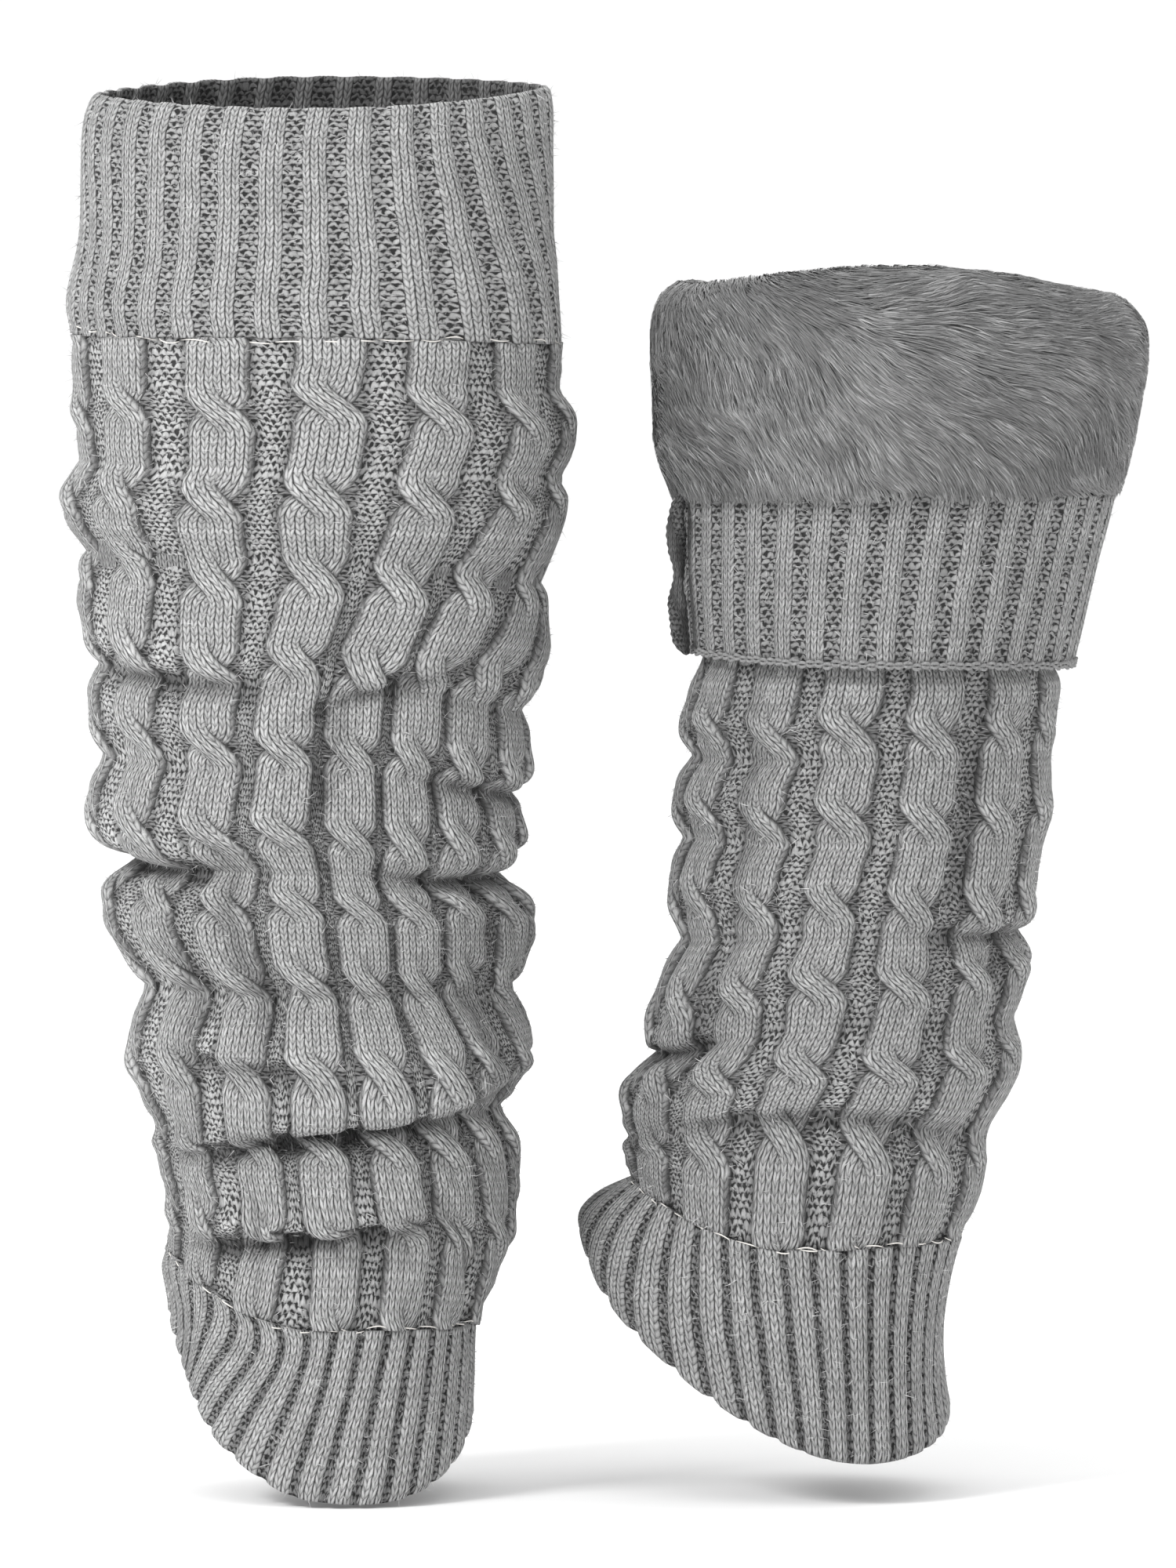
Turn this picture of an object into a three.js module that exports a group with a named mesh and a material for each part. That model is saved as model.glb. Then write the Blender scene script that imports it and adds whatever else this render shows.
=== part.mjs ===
// A pair of cable-knit leg warmers, filled out as if worn, in millimetres with +Z up.
// The tall one is slouched at its full length. The short one has its top turned down, so that its fur lining
// and the wrong side of its rib band face out.
// The origin is the centre of the tall one's calf opening, where the wearer's leg holds it.
// Angles run round a leg from the front (-Y) through the right (+X) to the back (+Y) and the left (-X).
import * as THREE from "three";

// Knit sizes
const CABLE_COUNT = 13;
const RIB_COUNT = 34;
const TWIST_PITCH = 23.5; // cloth length from one cable twist to the next
const CABLE_HEIGHT = 2.8; // a cable stands this far above the purl gutters beside it
const STRAND_RISE = 1.3; // the upper strand of a twist stands this much higher again
const CROSSING = 0.4; // the share of the pitch in which the upper strand goes across
const TWIST_REACH = 0.15; // how far from a twist its strands are bunched, as a share of the pitch
const STRAND_SHARE = 0.52; // half width of a strand, as a share of half a cable's
const BUNCHING = 0.2; // how much wider the upper strand is at a twist
const SINKING = 0.8; // how much of a cable's height the lower strand loses there
const RIB_HEIGHT = 1.6;
const WALL = 1.8; // cloth thickness at a gutter
const SEAM_GAP = 0.3; // between pieces that are sewn together
const ANKLE_GAP = 0.6; // at the tall one's ankle seam, which runs through creases
const HIDDEN_RELIEF = 0.7; // what is left of the cables where the turned cuff presses them flat
const CREASE = 1.6; // how much steeper a fold's side is at its trough than on average
const END_ROOM = 2.8; // no row of points lies nearer than this to the row at a piece's end
const PRESSED_RUN = 8; // cloth length over which the cables rise again below the turned cuff

// Colours and finish
const KNIT_COLOUR = 0xb4b4b4;
const FUR_COLOUR = 0x808080;
const ROLL_COLOUR = 0x8f8f8f;

const FULL_TURN = Math.PI * 2;
const DEGREE = Math.PI / 180;
const SAME_ANGLE = 1e-9;

/** Makes an object of each row, with a field for each named column. */
const table = (columns, rows) =>
  rows.map((row) => Object.fromEntries(columns.map((column, i) => [column, row[i]])));

// Each section is one loop of the outline: where its left, front, right and back lie, and how high each is.
const SECTION = ["leftX", "leftZ", "frontY", "frontZ", "rightX", "rightZ", "backY", "backZ"];
const OUTWARD = { leftX: -1, frontY: -1, rightX: 1, backY: 1 }; // the way in which each side's folds swell

const TALL_RIB = table(SECTION, [
  [-61.5, -0.2, -58, -2.3, 60.2, 1.3, 60, 2.3], // calf opening
  [-64.1, -7, -59.5, -9, 60.9, -6, 61.5, -6],
  [-65.5, -38, -60, -38, 60.9, -38, 62, -37],
  [-68.9, -57, -60.5, -56, 62.6, -58, 63, -57], // slack above the seam
]);

const TALL_BODY = table(SECTION, [
  [-67.8, -64.5, -60, -63, 63, -67, 62.5, -65], // seam
  [-67.2, -77, -59.5, -75, 62.6, -79, 62, -77],
  [-66.8, -88, -60, -87, 66.6, -92, 62, -89], // crest
  [-65.5, -98, -59, -97.5, 63.2, -102, 60.5, -99],
  [-70.4, -109.5, -60, -109, 64.3, -112, 63, -111], // crest
  [-63.2, -122, -57.5, -123, 57, -131, 57, -126],
  [-66.2, -134, -59.5, -138, 60.1, -147, 60.5, -140], // crest
  [-60.1, -151.5, -56.5, -154, 52.7, -165, 54.5, -157],
  [-63.4, -161, -58.5, -164.5, 54.6, -173, 58, -166], // crest
  [-59, -176, -56, -178, 50, -185, 52, -180],
  [-63.6, -189, -58, -191, 52.9, -195.5, 56, -192], // crest
  [-49.5, -202, -53.5, -205, 44.5, -206.5, 46, -205],
  [-59.6, -217, -57, -219, 56.1, -222, 54, -220], // crest
  [-47.5, -237, -51, -238, 49.6, -238, 45, -238],
  [-52.7, -256, -57.5, -254, 55.4, -254, 51, -255], // crest, which hangs over the next trough
  [-49.5, -267, -55.5, -266, 52, -263, 49, -266],
  [-45.5, -275, -47.5, -271.5, 46.8, -270, 43.5, -273],
  [-45.1, -284, -53, -285, 51.7, -288, 47, -288], // crest, which hangs over the next trough
  [-42.6, -293, -51.5, -295, 50.6, -299, 45.5, -297],
  [-41.6, -300, -45.5, -300.5, 49, -308, 43, -304],
  [-42.4, -308.5, -48, -326.5, 40.3, -328.5, 42, -322], // seam
]);

// The slack tall leg has crept round as it slipped down: how far its cables lean to the left, by cloth length from
// the top. They don't lean at CREEP_ROOT, and lean most on the other side of the leg.
const TALL_CREEP = table(["down", "degrees"], [
  [0, 0],
  [84, 0],
  [106, 4],
  [130, 16],
  [153, 38],
  [180, 45],
  [250, 42],
  [300, 28],
  [341.4, 0],
]);
const NO_CREEP = table(["down", "degrees"], [
  [0, 0],
  [1, 0],
]);
const CREEP_ROOT = -45;

// Creases that run down a leg: the middle's angle and cloth length from the top, the half width in degrees, the
// half length, the depth, and how many degrees the crease leans to the right for each millimetre down.
const CREASE_LINE = ["angle", "down", "spread", "reach", "depth", "lean"];

const TALL_CREASES = table(CREASE_LINE, [
  [8, 176, 7, 24, 2.4, -0.12],
  [-23, 238, 7, 32, 2.8, 0.14],
  [-46, 256, 7, 20, 2.4, 0.05],
  [54, 261, 8, 20, 2.8, 0.3],
  [57, 233, 16, 7, 2, 0],
  [67, 334, 9, 17, 2.8, 0.1],
  [-27, 323, 8, 12, 2.4, 0.1],
  [150, 230, 9, 30, 3, -0.1],
  [-140, 290, 9, 26, 2.2, 0.12],
  [-100, 190, 8, 24, 2.4, 0.05],
]);

const SHORT_CREASES = table(CREASE_LINE, [
  [-42, 136, 7, 42, 2.4, 0],
  [-53, 195, 8, 20, 2.6, -0.2],
  [34, 140, 6, 40, 1.8, -0.03],
  [60, 181, 12, 9, 2.4, 0],
  [140, 190, 9, 34, 2.8, 0.06],
  [-130, 215, 9, 26, 3, -0.08],
]);

const SHORT_BODY = table(SECTION, [
  [95.3, -58, -54, -50, 211.5, -57, 54, -63], // top edge, inside the fold
  [97.2, -84, -53, -80, 209.4, -84, 54, -86],
  [98.9, -109.5, -52, -107, 206.9, -109.5, 53.5, -111],
  [99.5, -134.5, -50, -132, 200.1, -134.5, 52, -136],
  [98.6, -150, -47.5, -149.5, 195.3, -150.5, 50, -151.5], // under the cuff's edge
  [97.2, -159, -48, -157.5, 196.4, -159, 51, -160],
  [94.9, -167.5, -48.5, -166, 194.7, -167.5, 51, -168], // crest
  [97.9, -177, -47.5, -176, 193.8, -178, 49, -178],
  [92.8, -188.5, -48.5, -187, 194, -189, 50.5, -189], // crest
  [95.6, -198.5, -47, -198, 191.7, -200.5, 47.5, -200],
  [91.8, -210.5, -48, -209, 190, -211, 49, -211], // crest
  [94.9, -226, -46.5, -222, 184.4, -222, 45, -224],
  [87.2, -245, -48, -235, 188, -232, 46.5, -238], // crest
  [88.4, -255, -46.2, -247, 184, -246, 43.5, -250],
  [78.8, -270, -49, -260.5, 185.6, -259, 45, -264], // crest
  [80.9, -279, -45.5, -269, 177, -278, 41.5, -277],
  [80, -284, -48, -285, 175.6, -292, 43, -290], // crest
  [81.5, -289.5, -45, -305.5, 169.9, -305.5, 41, -302], // seam
]);

const CUFF_EDGE_ROW = 4; // the row of the short body that lies under the cuff's edge

const TURNED_RIB = table(SECTION, [
  [94.7, -107.1, -57.5, -104.3, 210.7, -107, 58, -109.3], // where the fur ends
  [95.1, -129.5, -56, -127, 205, -129.5, 56.5, -131],
  [96.6, -148.7, -52.5, -150.3, 199.6, -152.5, 54, -152], // bound-off edge
]);

// The fur band goes up the outside, over the fold and down the inside, and back round the cloth that it covers.
const FUR_OUTSIDE = table(SECTION, [
  [91.8, -106.1, -61.5, -103.3, 211.6, -106, 62, -108.3], // lower edge
  [88.2, -96, -64.5, -92, 215, -96, 64.5, -98],
  [87, -78, -66, -75, 218.2, -78, 66, -80],
  [86.3, -63.5, -65.5, -59, 219.3, -64.5, 65.5, -66.5],
  [88.6, -54, -61.5, -46.2, 214.6, -55.6, 61, -58.5],
  [95, -49.3, -55.5, -43, 209, -52.2, 55, -55.8], // top of the fold
  [101.5, -52.5, -48.5, -44.5, 203, -53.5, 48.5, -57],
  [105.3, -61, -44.8, -53, 199.8, -62, 44.8, -65],
  [106, -85, -43.8, -80, 198.8, -86, 44.5, -88], // inner edge
]);
const FUR_BACKING = table(SECTION, [
  [103, -85, -47.2, -80, 203.4, -86, 48, -88],
  [101.3, -56.7, -48, -48.7, 205.5, -55.7, 48, -61.7],
  [96.7, -56.7, -52.7, -48.7, 210.1, -55.7, 52.7, -61.7],
  [97.6, -80, -53, -76, 209.7, -80, 54, -83],
  [97.5, -106.1, -54, -103.3, 209, -106, 55, -108.3],
]);

// Each hem is a loop too, by the angle at which its ribs leave the seam, because they lean as they fall.
const HEM = ["angle", "x", "y", "z"];

const TALL_HEM = table(HEM, [
  [-90, -38.9, 18, -323],
  [-60, -42.2, 0, -323.5],
  [-35, -40.1, -14, -335],
  [-20, -32.1, -30, -354],
  [0, -13.7, -46, -368.5],
  [20, 2.7, -52, -372],
  [45, 22, -47, -371],
  [70, 35, -29, -364],
  [90, 39.3, -8, -355],
  [120, 36.7, 20, -352],
  [160, 17.9, 38, -350],
  [200, -3, 42, -345],
  [240, -26, 33, -334],
]);

const SHORT_HEM = table(HEM, [
  [-120, 74.8, 27.5, -304.5],
  [-100, 68.9, 13, -304],
  [-85, 69.3, -1, -310],
  [-72, 73.5, -12, -320],
  [-60, 80.9, -22, -329.5],
  [-45, 95, -34, -341.5],
  [-25, 112.4, -44, -352.5],
  [0, 130.2, -48, -360],
  [25, 144.9, -46, -362],
  [50, 157.5, -36, -360.5],
  [75, 165.5, -18, -356.5],
  [95, 167.4, 0, -352],
  [130, 160.7, 28, -349],
  [165, 141.8, 42, -347],
  [200, 114.5, 45.5, -332],
  [225, 90.5, 38.5, -314],
]);

const TALL_SHAPE = {
  ribRows: TALL_RIB.length,
  hem: TALL_HEM,
  swell: 1.2,
  leftSwell: 1.3,
  creases: TALL_CREASES,
  creep: TALL_CREEP,
};
const SHORT_SHAPE = {
  ribRows: 0,
  hem: SHORT_HEM,
  swell: 1.2,
  leftSwell: 4.8,
  creases: SHORT_CREASES,
  creep: NO_CREEP,
};

// Where the first cable of each leg stands, how much of a cable's pitch its stocking stitch takes, and the cloth
// length from the top of the cables to the first twist.
const TALL_CABLES = { firstAngle: 2.5, share: 0.63, firstTwist: 19 };
const SHORT_CABLES = { firstAngle: -8, share: 0.7, firstTwist: 19.5 };

// Columns of points across one cable and across one rib, as shares of its pitch from its middle.
const cableColumns = (share) => [-0.5, -share * 0.47, -share * 0.23, share * 0.23, share * 0.47];
const RIB_CREST = 0.22; // half of a rib's flat top, as a share of the rib's pitch
const TURNED_CREST = 0.17; // the wrong side has narrower ribs
const ribColumns = (crest) => [-0.5, -crest, crest];

const smooth = (t) => {
  const s = Math.min(1, Math.max(0, t));
  return s * s * (3 - 2 * s);
};
const bell = (t) => Math.exp(-t * t);

/** How high a rounded strand stands at a distance from its middle, both as shares of its half width. */
const rounded = (distance) => Math.sqrt(Math.max(0, 1 - Math.abs(distance) ** 4));

/**
 * Height of a cable above its gutter.
 * @param {number} across from -1 at its left edge to 1 at its right
 * @param {number} turn cloth length from the nearest twist, as a share of the pitch
 */
function cableHeight(across, turn) {
  const near = bell(turn / TWIST_REACH);
  const strandMiddle = smooth(turn / CROSSING + 0.5) - 0.5;
  const strandHalf = STRAND_SHARE + BUNCHING * near;
  const strand = (CABLE_HEIGHT + STRAND_RISE * near) * rounded((across - strandMiddle) / strandHalf);
  const panel = CABLE_HEIGHT * rounded(across) * (1 - SINKING * near);
  return Math.max(strand, panel);
}

/** The four-sided loop of a section at an angle: an ellipse whose height runs smoothly from side to side. */
function sectionPoint(section, angle) {
  const side = Math.sin(angle);
  const ahead = Math.cos(angle);
  const { leftX, rightX, frontY, backY } = section;
  const sideZ = side > 0 ? section.rightZ : section.leftZ;
  const aheadZ = ahead > 0 ? section.frontZ : section.backZ;
  return new THREE.Vector3(
    (leftX + rightX) / 2 + (side * (rightX - leftX)) / 2,
    (frontY + backY) / 2 + (ahead * (frontY - backY)) / 2,
    side ** 2 * sideZ + ahead ** 2 * aheadZ,
  );
}

/** Mean distance between two sections, measured at eight angles. */
function clothBetween(a, b) {
  const angles = Array.from({ length: 8 }, (_, i) => (i * FULL_TURN) / 8);
  return angles.reduce((sum, t) => sum + sectionPoint(a, t).distanceTo(sectionPoint(b, t)), 0) / angles.length;
}

/**
 * A curve through values at rising positions, as a function of position.
 * @param {number[]} positions
 * @param {number[]} values
 * @param {number} outward 1 or -1 for the way in which a fold swells, whose crests are round and whose troughs
 * are creases; 0 for a curve that is smooth all along
 */
function curveThrough(positions, values, outward = 0) {
  const last = positions.length - 1;
  const rise = (i) => (values[i + 1] - values[i]) / (positions[i + 1] - positions[i]);
  const slopes = values.map((_, i) => {
    const before = rise(Math.max(0, i - 1));
    const after = rise(Math.min(last - 1, i));
    if (before * after > 0 || !outward) return [(before + after) / 2, (before + after) / 2];
    return before * outward > 0 ? [0, 0] : [before * CREASE, after * CREASE];
  });
  return (position) => {
    let i = 0;
    while (i < last - 1 && position > positions[i + 1]) i += 1;
    const step = positions[i + 1] - positions[i];
    const t = (position - positions[i]) / step;
    const s = t * t * (3 - 2 * t);
    const bend = step * (slopes[i][1] * t * (1 - t) ** 2 - slopes[i + 1][0] * t * t * (1 - t));
    return values[i] * (1 - s) + values[i + 1] * s + bend;
  };
}

/** The outline surface of a tube of cloth: a point for each cloth length from its top and each angle. */
function tubeSurface(sections) {
  const lengths = [0];
  sections.slice(1).forEach((section, i) => lengths.push(lengths[i] + clothBetween(sections[i], section)));
  const curveOf = (field) => curveThrough(lengths, sections.map((s) => s[field]), OUTWARD[field]);
  const curves = SECTION.map((field) => [field, curveOf(field)]);
  const sectionAt = (down) => Object.fromEntries(curves.map(([field, curve]) => [field, curve(down)]));
  const point = (down, angle) => sectionPoint(sectionAt(down), angle);
  return { lengths, length: lengths.at(-1), point };
}

/**
 * The outline surface of an ankle band, from the seam's section to the hem's loop. Halfway down it swells
 * outward, more on the left than on the right.
 */
function bandSurface(seam, { hem, swell, leftSwell }) {
  const rows = [...hem.slice(-3).map((r) => ({ ...r, angle: r.angle - 360 })), ...hem];
  rows.push(...hem.slice(0, 3).map((r) => ({ ...r, angle: r.angle + 360 })));
  const angles = rows.map((r) => r.angle * DEGREE);
  const [x, y, z] = ["x", "y", "z"].map((axis) => curveThrough(angles, rows.map((r) => r[axis])));
  const start = hem[0].angle * DEGREE;
  const hemPoint = (angle) => {
    const turned = start + THREE.MathUtils.euclideanModulo(angle - start, FULL_TURN);
    return new THREE.Vector3(x(turned), y(turned), z(turned));
  };
  const lengthAt = (angle) => sectionPoint(seam, angle).distanceTo(hemPoint(angle));
  const length = hem.reduce((sum, r) => sum + lengthAt(r.angle * DEGREE), 0) / hem.length;
  const point = (down, angle) => {
    const share = down / length;
    const out = (swell - leftSwell * Math.sin(angle)) * 4 * share * (1 - share);
    const swollen = new THREE.Vector3(Math.sin(angle) * out, -Math.cos(angle) * out, 0);
    return sectionPoint(seam, angle).lerp(hemPoint(angle), share).add(swollen);
  };
  return { length, point };
}

/** How deep the creases of a leg are at a place. */
function creaseDepth(creases, down, angle) {
  return creases.reduce((depth, crease) => {
    const below = down - crease.down;
    const middle = crease.angle + crease.lean * below;
    const aside = THREE.MathUtils.euclideanModulo(angle / DEGREE - middle + 180, 360) - 180;
    return depth + crease.depth * bell(aside / crease.spread) * bell(below / crease.reach);
  }, 0);
}

/**
 * A whole leg: a tube of cloth that goes on smoothly into its ankle band, with its creases. Its angles are those
 * of the cloth, which the slack leg's creep carries round. Its first rows, ribRows of them, are the top rib band.
 */
function legSurface(sections, { ribRows, creases, creep, ...ankle }) {
  const tube = tubeSurface(sections);
  const band = bandSurface(sections.at(-1), ankle);
  const creepAt = curveThrough(creep.map((row) => row.down), creep.map((row) => row.degrees));
  const leaning = (angle) => (1 - Math.cos(angle - CREEP_ROOT * DEGREE)) / 2;
  const crept = (down, angle) => angle - creepAt(down) * DEGREE * leaning(angle);
  const point = (down, clothAngle) => {
    const inTube = down < tube.length;
    const angle = inTube ? crept(down, clothAngle) : clothAngle;
    const made = inTube ? tube.point(down, angle) : band.point(down - tube.length, angle);
    const depth = creaseDepth(creases, down, angle);
    return made.add(new THREE.Vector3(-Math.sin(angle) * depth, Math.cos(angle) * depth, 0));
  };
  const seams = [tube.lengths[ribRows], tube.length];
  return { point, lengths: tube.lengths, seams, length: tube.length + band.length };
}

/** The unit normal of a surface, pointing away from the leg. */
function outward(surface, down, angle) {
  const reach = 2.5;
  const turn = 0.05;
  const along = surface.point(down + reach, angle).sub(surface.point(down - reach, angle));
  const round = surface.point(down, angle + turn).sub(surface.point(down, angle - turn));
  return along.cross(round).normalize();
}

/** A loop of points on a surface, sunk below its outline by a depth that may differ from point to point. */
function loopOn(surface, down, angles, depthAt) {
  const points = angles.map((angle) => {
    const normal = outward(surface, down, angle);
    return surface.point(down, angle).addScaledVector(normal, -depthAt(down, angle));
  });
  return { angles, points };
}

/** Joins a closed sequence of loops, each to the next and the last to the first, into one geometry. */
function ringGeometry(loops) {
  const position = [];
  const starts = loops.map((loop) => {
    const start = position.length / 3;
    loop.points.forEach((p) => position.push(p.x, p.y, p.z));
    return start;
  });
  const index = [];
  loops.forEach((upper, k) => {
    const next = (k + 1) % loops.length;
    const lower = loops[next];
    const at = (loop, start, i) => start + (i % loop.points.length);
    const angleOf = (loop, i) => loop.angles[i % loop.angles.length] + (i >= loop.angles.length ? FULL_TURN : 0);
    let i = 0;
    let j = 0;
    while (i < upper.points.length || j < lower.points.length) {
      const a = at(upper, starts[k], i);
      const b = at(lower, starts[next], j);
      const upperIsDone = i >= upper.points.length;
      const lowerTurnsLess = angleOf(lower, j + 1) <= angleOf(upper, i + 1) + SAME_ANGLE;
      if (j < lower.points.length && (upperIsDone || lowerTurnsLess)) {
        j += 1;
        index.push(a, b, at(lower, starts[next], j));
      } else {
        i += 1;
        index.push(a, b, at(upper, starts[k], i));
      }
    }
  });
  const geometry = new THREE.BufferGeometry();
  geometry.setAttribute("position", new THREE.Float32BufferAttribute(position, 3));
  geometry.setIndex(index);
  geometry.computeVertexNormals();
  return geometry;
}

/** Angles of the columns of points round a leg, for a pattern that repeats. */
function anglesRound(count, columns, firstAngle = 0) {
  const pitch = FULL_TURN / count;
  const columnsOf = (k) => columns.map((share) => firstAngle * DEGREE + (k + share) * pitch);
  return Array.from({ length: count }, (_, k) => columnsOf(k)).flat();
}

/** Evenly spaced positions from one cloth length to another. */
const spaced = (from, to, steps) => Array.from({ length: steps + 1 }, (_, i) => from + ((to - from) * i) / steps);

/** A wall of cloth: its outer rows carry the relief, and its inner rows are plain. */
function clothWall({ surface, outerRows, innerRows, outerAngles, innerAngles, relief, reliefHeight }) {
  const sunk = (down, angle) => reliefHeight - relief(down, angle);
  const outer = outerRows.map((down) => loopOn(surface, down, outerAngles, sunk));
  const inner = innerRows.map((down) => loopOn(surface, down, innerAngles, () => reliefHeight + WALL));
  return ringGeometry([...inner.reverse(), ...outer]);
}

/** A rib band, whose ribs are raised over a plain inside. */
function ribBand(surface, { rows, from, to, crest = RIB_CREST }) {
  const columns = ribColumns(crest);
  const pitch = FULL_TURN / RIB_COUNT;
  const relief = (_, angle) => {
    const share = THREE.MathUtils.euclideanModulo(angle / pitch + 0.5, 1) - 0.5;
    return Math.abs(share) < (crest + 0.5) / 2 ? RIB_HEIGHT : 0;
  };
  return clothWall({
    surface,
    outerRows: spaced(from, to, rows),
    innerRows: spaced(from, to, rows),
    outerAngles: anglesRound(RIB_COUNT, columns),
    innerAngles: anglesRound(RIB_COUNT, [-0.5]),
    relief,
    reliefHeight: RIB_HEIGHT,
  });
}

/** Cloth lengths of a cable body's rows: four for each twist, and its two ends. */
function twistRows(from, to, firstTwist) {
  const shares = [-CROSSING / 2, 0, CROSSING / 2, 0.5];
  const twists = Math.ceil((to - firstTwist) / TWIST_PITCH) + 1;
  const rows = Array.from({ length: twists }, (_, k) => shares.map((s) => firstTwist + (k + s) * TWIST_PITCH));
  return [from, ...rows.flat().filter((down) => down > from + END_ROOM && down < to - END_ROOM), to];
}

/** A body of cables between purl gutters. Above plainUntil the turned cuff presses it flat. */
function cableBody(surface, cables, { from, to, plainUntil }) {
  const pitch = FULL_TURN / CABLE_COUNT;
  const relief = (down, angle) => {
    const share = THREE.MathUtils.euclideanModulo((angle - cables.firstAngle * DEGREE) / pitch + 0.5, 1) - 0.5;
    const turn = (down - from - cables.firstTwist) / TWIST_PITCH;
    const free = plainUntil ? smooth((down - plainUntil) / PRESSED_RUN) : 1;
    const across = THREE.MathUtils.clamp(share / (cables.share / 2), -1, 1);
    const height = cableHeight(across, turn - Math.round(turn));
    return height * free + Math.min(height, HIDDEN_RELIEF) * (1 - free);
  };
  const hidden = plainUntil ? spaced(from, plainUntil, 4).slice(0, -1) : [];
  return clothWall({
    surface,
    outerRows: [...hidden, ...twistRows(plainUntil ?? from, to, from + cables.firstTwist)],
    innerRows: [from, ...surface.lengths.filter((down) => down > from + 1 && down < to - 1), to],
    outerAngles: anglesRound(CABLE_COUNT, cableColumns(cables.share), cables.firstAngle),
    innerAngles: anglesRound(CABLE_COUNT, [-0.5, 0], cables.firstAngle),
    relief,
    reliefHeight: CABLE_HEIGHT,
  });
}

/** The fur band over the fold, its outside waved by locks of fur. */
function furBand() {
  const columns = 40;
  const angles = Array.from({ length: columns }, (_, i) => (i * FULL_TURN) / columns);
  const lockDepth = 0.9;
  const outside = FUR_OUTSIDE.map((section, row) => {
    const waved = row > 0 && row < 5 ? lockDepth : 0;
    const points = angles.map((angle) => {
      const wave = waved * Math.sin(angle * 11 + row * 2.1) * Math.cos(angle * 3 - row);
      const lifted = new THREE.Vector3(Math.sin(angle) * wave, -Math.cos(angle) * wave, 0);
      return sectionPoint(section, angle).add(lifted);
    });
    return { angles, points };
  });
  const backing = FUR_BACKING.map((section) => ({ angles, points: angles.map((a) => sectionPoint(section, a)) }));
  return ringGeometry([...outside, ...backing].reverse());
}

/** The side seam of the turned cuff: its allowance stands out as a twisted roll of knitting. */
function seamRoll() {
  const sides = 8;
  const rows = table(
    ["x", "y", "z", "across", "deep", "turn"],
    [
      [95, -15, -107, 1.4, 1.6, 0],
      [94.2, -16, -109.5, 2.7, 3.4, 10],
      [93.7, -16.5, -115, 3.1, 4.2, 25],
      [94, -16.5, -122, 2.8, 3.8, 45],
      [94.5, -16.5, -127.5, 2.2, 2.9, 70],
      [94, -16.5, -133, 2.8, 3.7, 95],
      [94.4, -16.5, -140, 2.9, 4, 115],
      [95.2, -16, -146, 2.6, 3.2, 130],
      [96.4, -15.5, -149, 1.2, 1.5, 140],
    ],
  );
  const loop = (row) => {
    const angles = Array.from({ length: sides }, (_, i) => (i * FULL_TURN) / sides);
    const points = angles.map((angle) => {
      const lobe = 1 + 0.1 * Math.cos(2 * (angle - row.turn * DEGREE));
      const x = row.x + Math.sin(angle) * row.across * lobe;
      const y = row.y - Math.cos(angle) * row.deep * lobe;
      return new THREE.Vector3(x, y, row.z);
    });
    return { angles, points };
  };
  const tip = (row, lift) => ({ angles: [0], points: [new THREE.Vector3(row.x, row.y, row.z + lift)] });
  const loops = [tip(rows[0], 0.4), ...rows.map(loop), tip(rows.at(-1), -0.4)];
  return tubeGeometry(loops);
}

/** Joins an open sequence of loops whose first and last are single points. */
function tubeGeometry(loops) {
  const position = loops.flatMap((loop) => loop.points.flatMap((p) => [p.x, p.y, p.z]));
  const sides = loops[1].points.length;
  const last = loops.length - 1;
  const start = (k) => (k === 0 ? 0 : 1 + (k - 1) * sides);
  const index = [];
  for (let i = 0; i < sides; i += 1) {
    const next = (i + 1) % sides;
    index.push(0, start(1) + i, start(1) + next);
    for (let k = 1; k < last - 1; k += 1) {
      const [a, b, c, d] = [start(k) + i, start(k + 1) + i, start(k + 1) + next, start(k) + next];
      index.push(a, b, c, a, c, d);
    }
    index.push(start(last - 1) + i, start(last), start(last - 1) + next);
  }
  const geometry = new THREE.BufferGeometry();
  geometry.setAttribute("position", new THREE.Float32BufferAttribute(position, 3));
  geometry.setIndex(index);
  geometry.computeVertexNormals();
  return geometry;
}

const knit = new THREE.MeshStandardMaterial({ color: KNIT_COLOUR, roughness: 0.95, metalness: 0 });
const fur = new THREE.MeshStandardMaterial({ color: FUR_COLOUR, roughness: 0.9, metalness: 0 });
const roll = new THREE.MeshStandardMaterial({ color: ROLL_COLOUR, roughness: 0.95, metalness: 0 });

const pair = new THREE.Group();

function add(name, geometry, material) {
  const mesh = new THREE.Mesh(geometry, material);
  mesh.name = name;
  pair.add(mesh);
}

const tall = legSurface([...TALL_RIB, ...TALL_BODY], TALL_SHAPE);
const [tallTopSeam, tallAnkleSeam] = tall.seams;
const tallCables = { from: tallTopSeam + SEAM_GAP, to: tallAnkleSeam };
add("tall_top_rib", ribBand(tall, { from: 0, to: tallTopSeam, rows: 3 }), knit);
add("tall_cable_body", cableBody(tall, TALL_CABLES, tallCables), knit);
add("tall_ankle_rib", ribBand(tall, { from: tallAnkleSeam + ANKLE_GAP, to: tall.length, rows: 3 }), knit);

const short = legSurface(SHORT_BODY, SHORT_SHAPE);
const shortAnkleSeam = short.seams[1];
const shortCables = { from: 0, to: shortAnkleSeam, plainUntil: short.lengths[CUFF_EDGE_ROW] };
add("short_cable_body", cableBody(short, SHORT_CABLES, shortCables), knit);
add("short_ankle_rib", ribBand(short, { from: shortAnkleSeam + SEAM_GAP, to: short.length, rows: 4 }), knit);

const turnedRib = tubeSurface(TURNED_RIB);
add("short_turned_rib", ribBand(turnedRib, { from: 0, to: turnedRib.length, rows: 2, crest: TURNED_CREST }), knit);
add("short_fur_band", furBand(), fur);
add("short_cuff_seam_roll", seamRoll(), roll);

export default pair;
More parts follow.
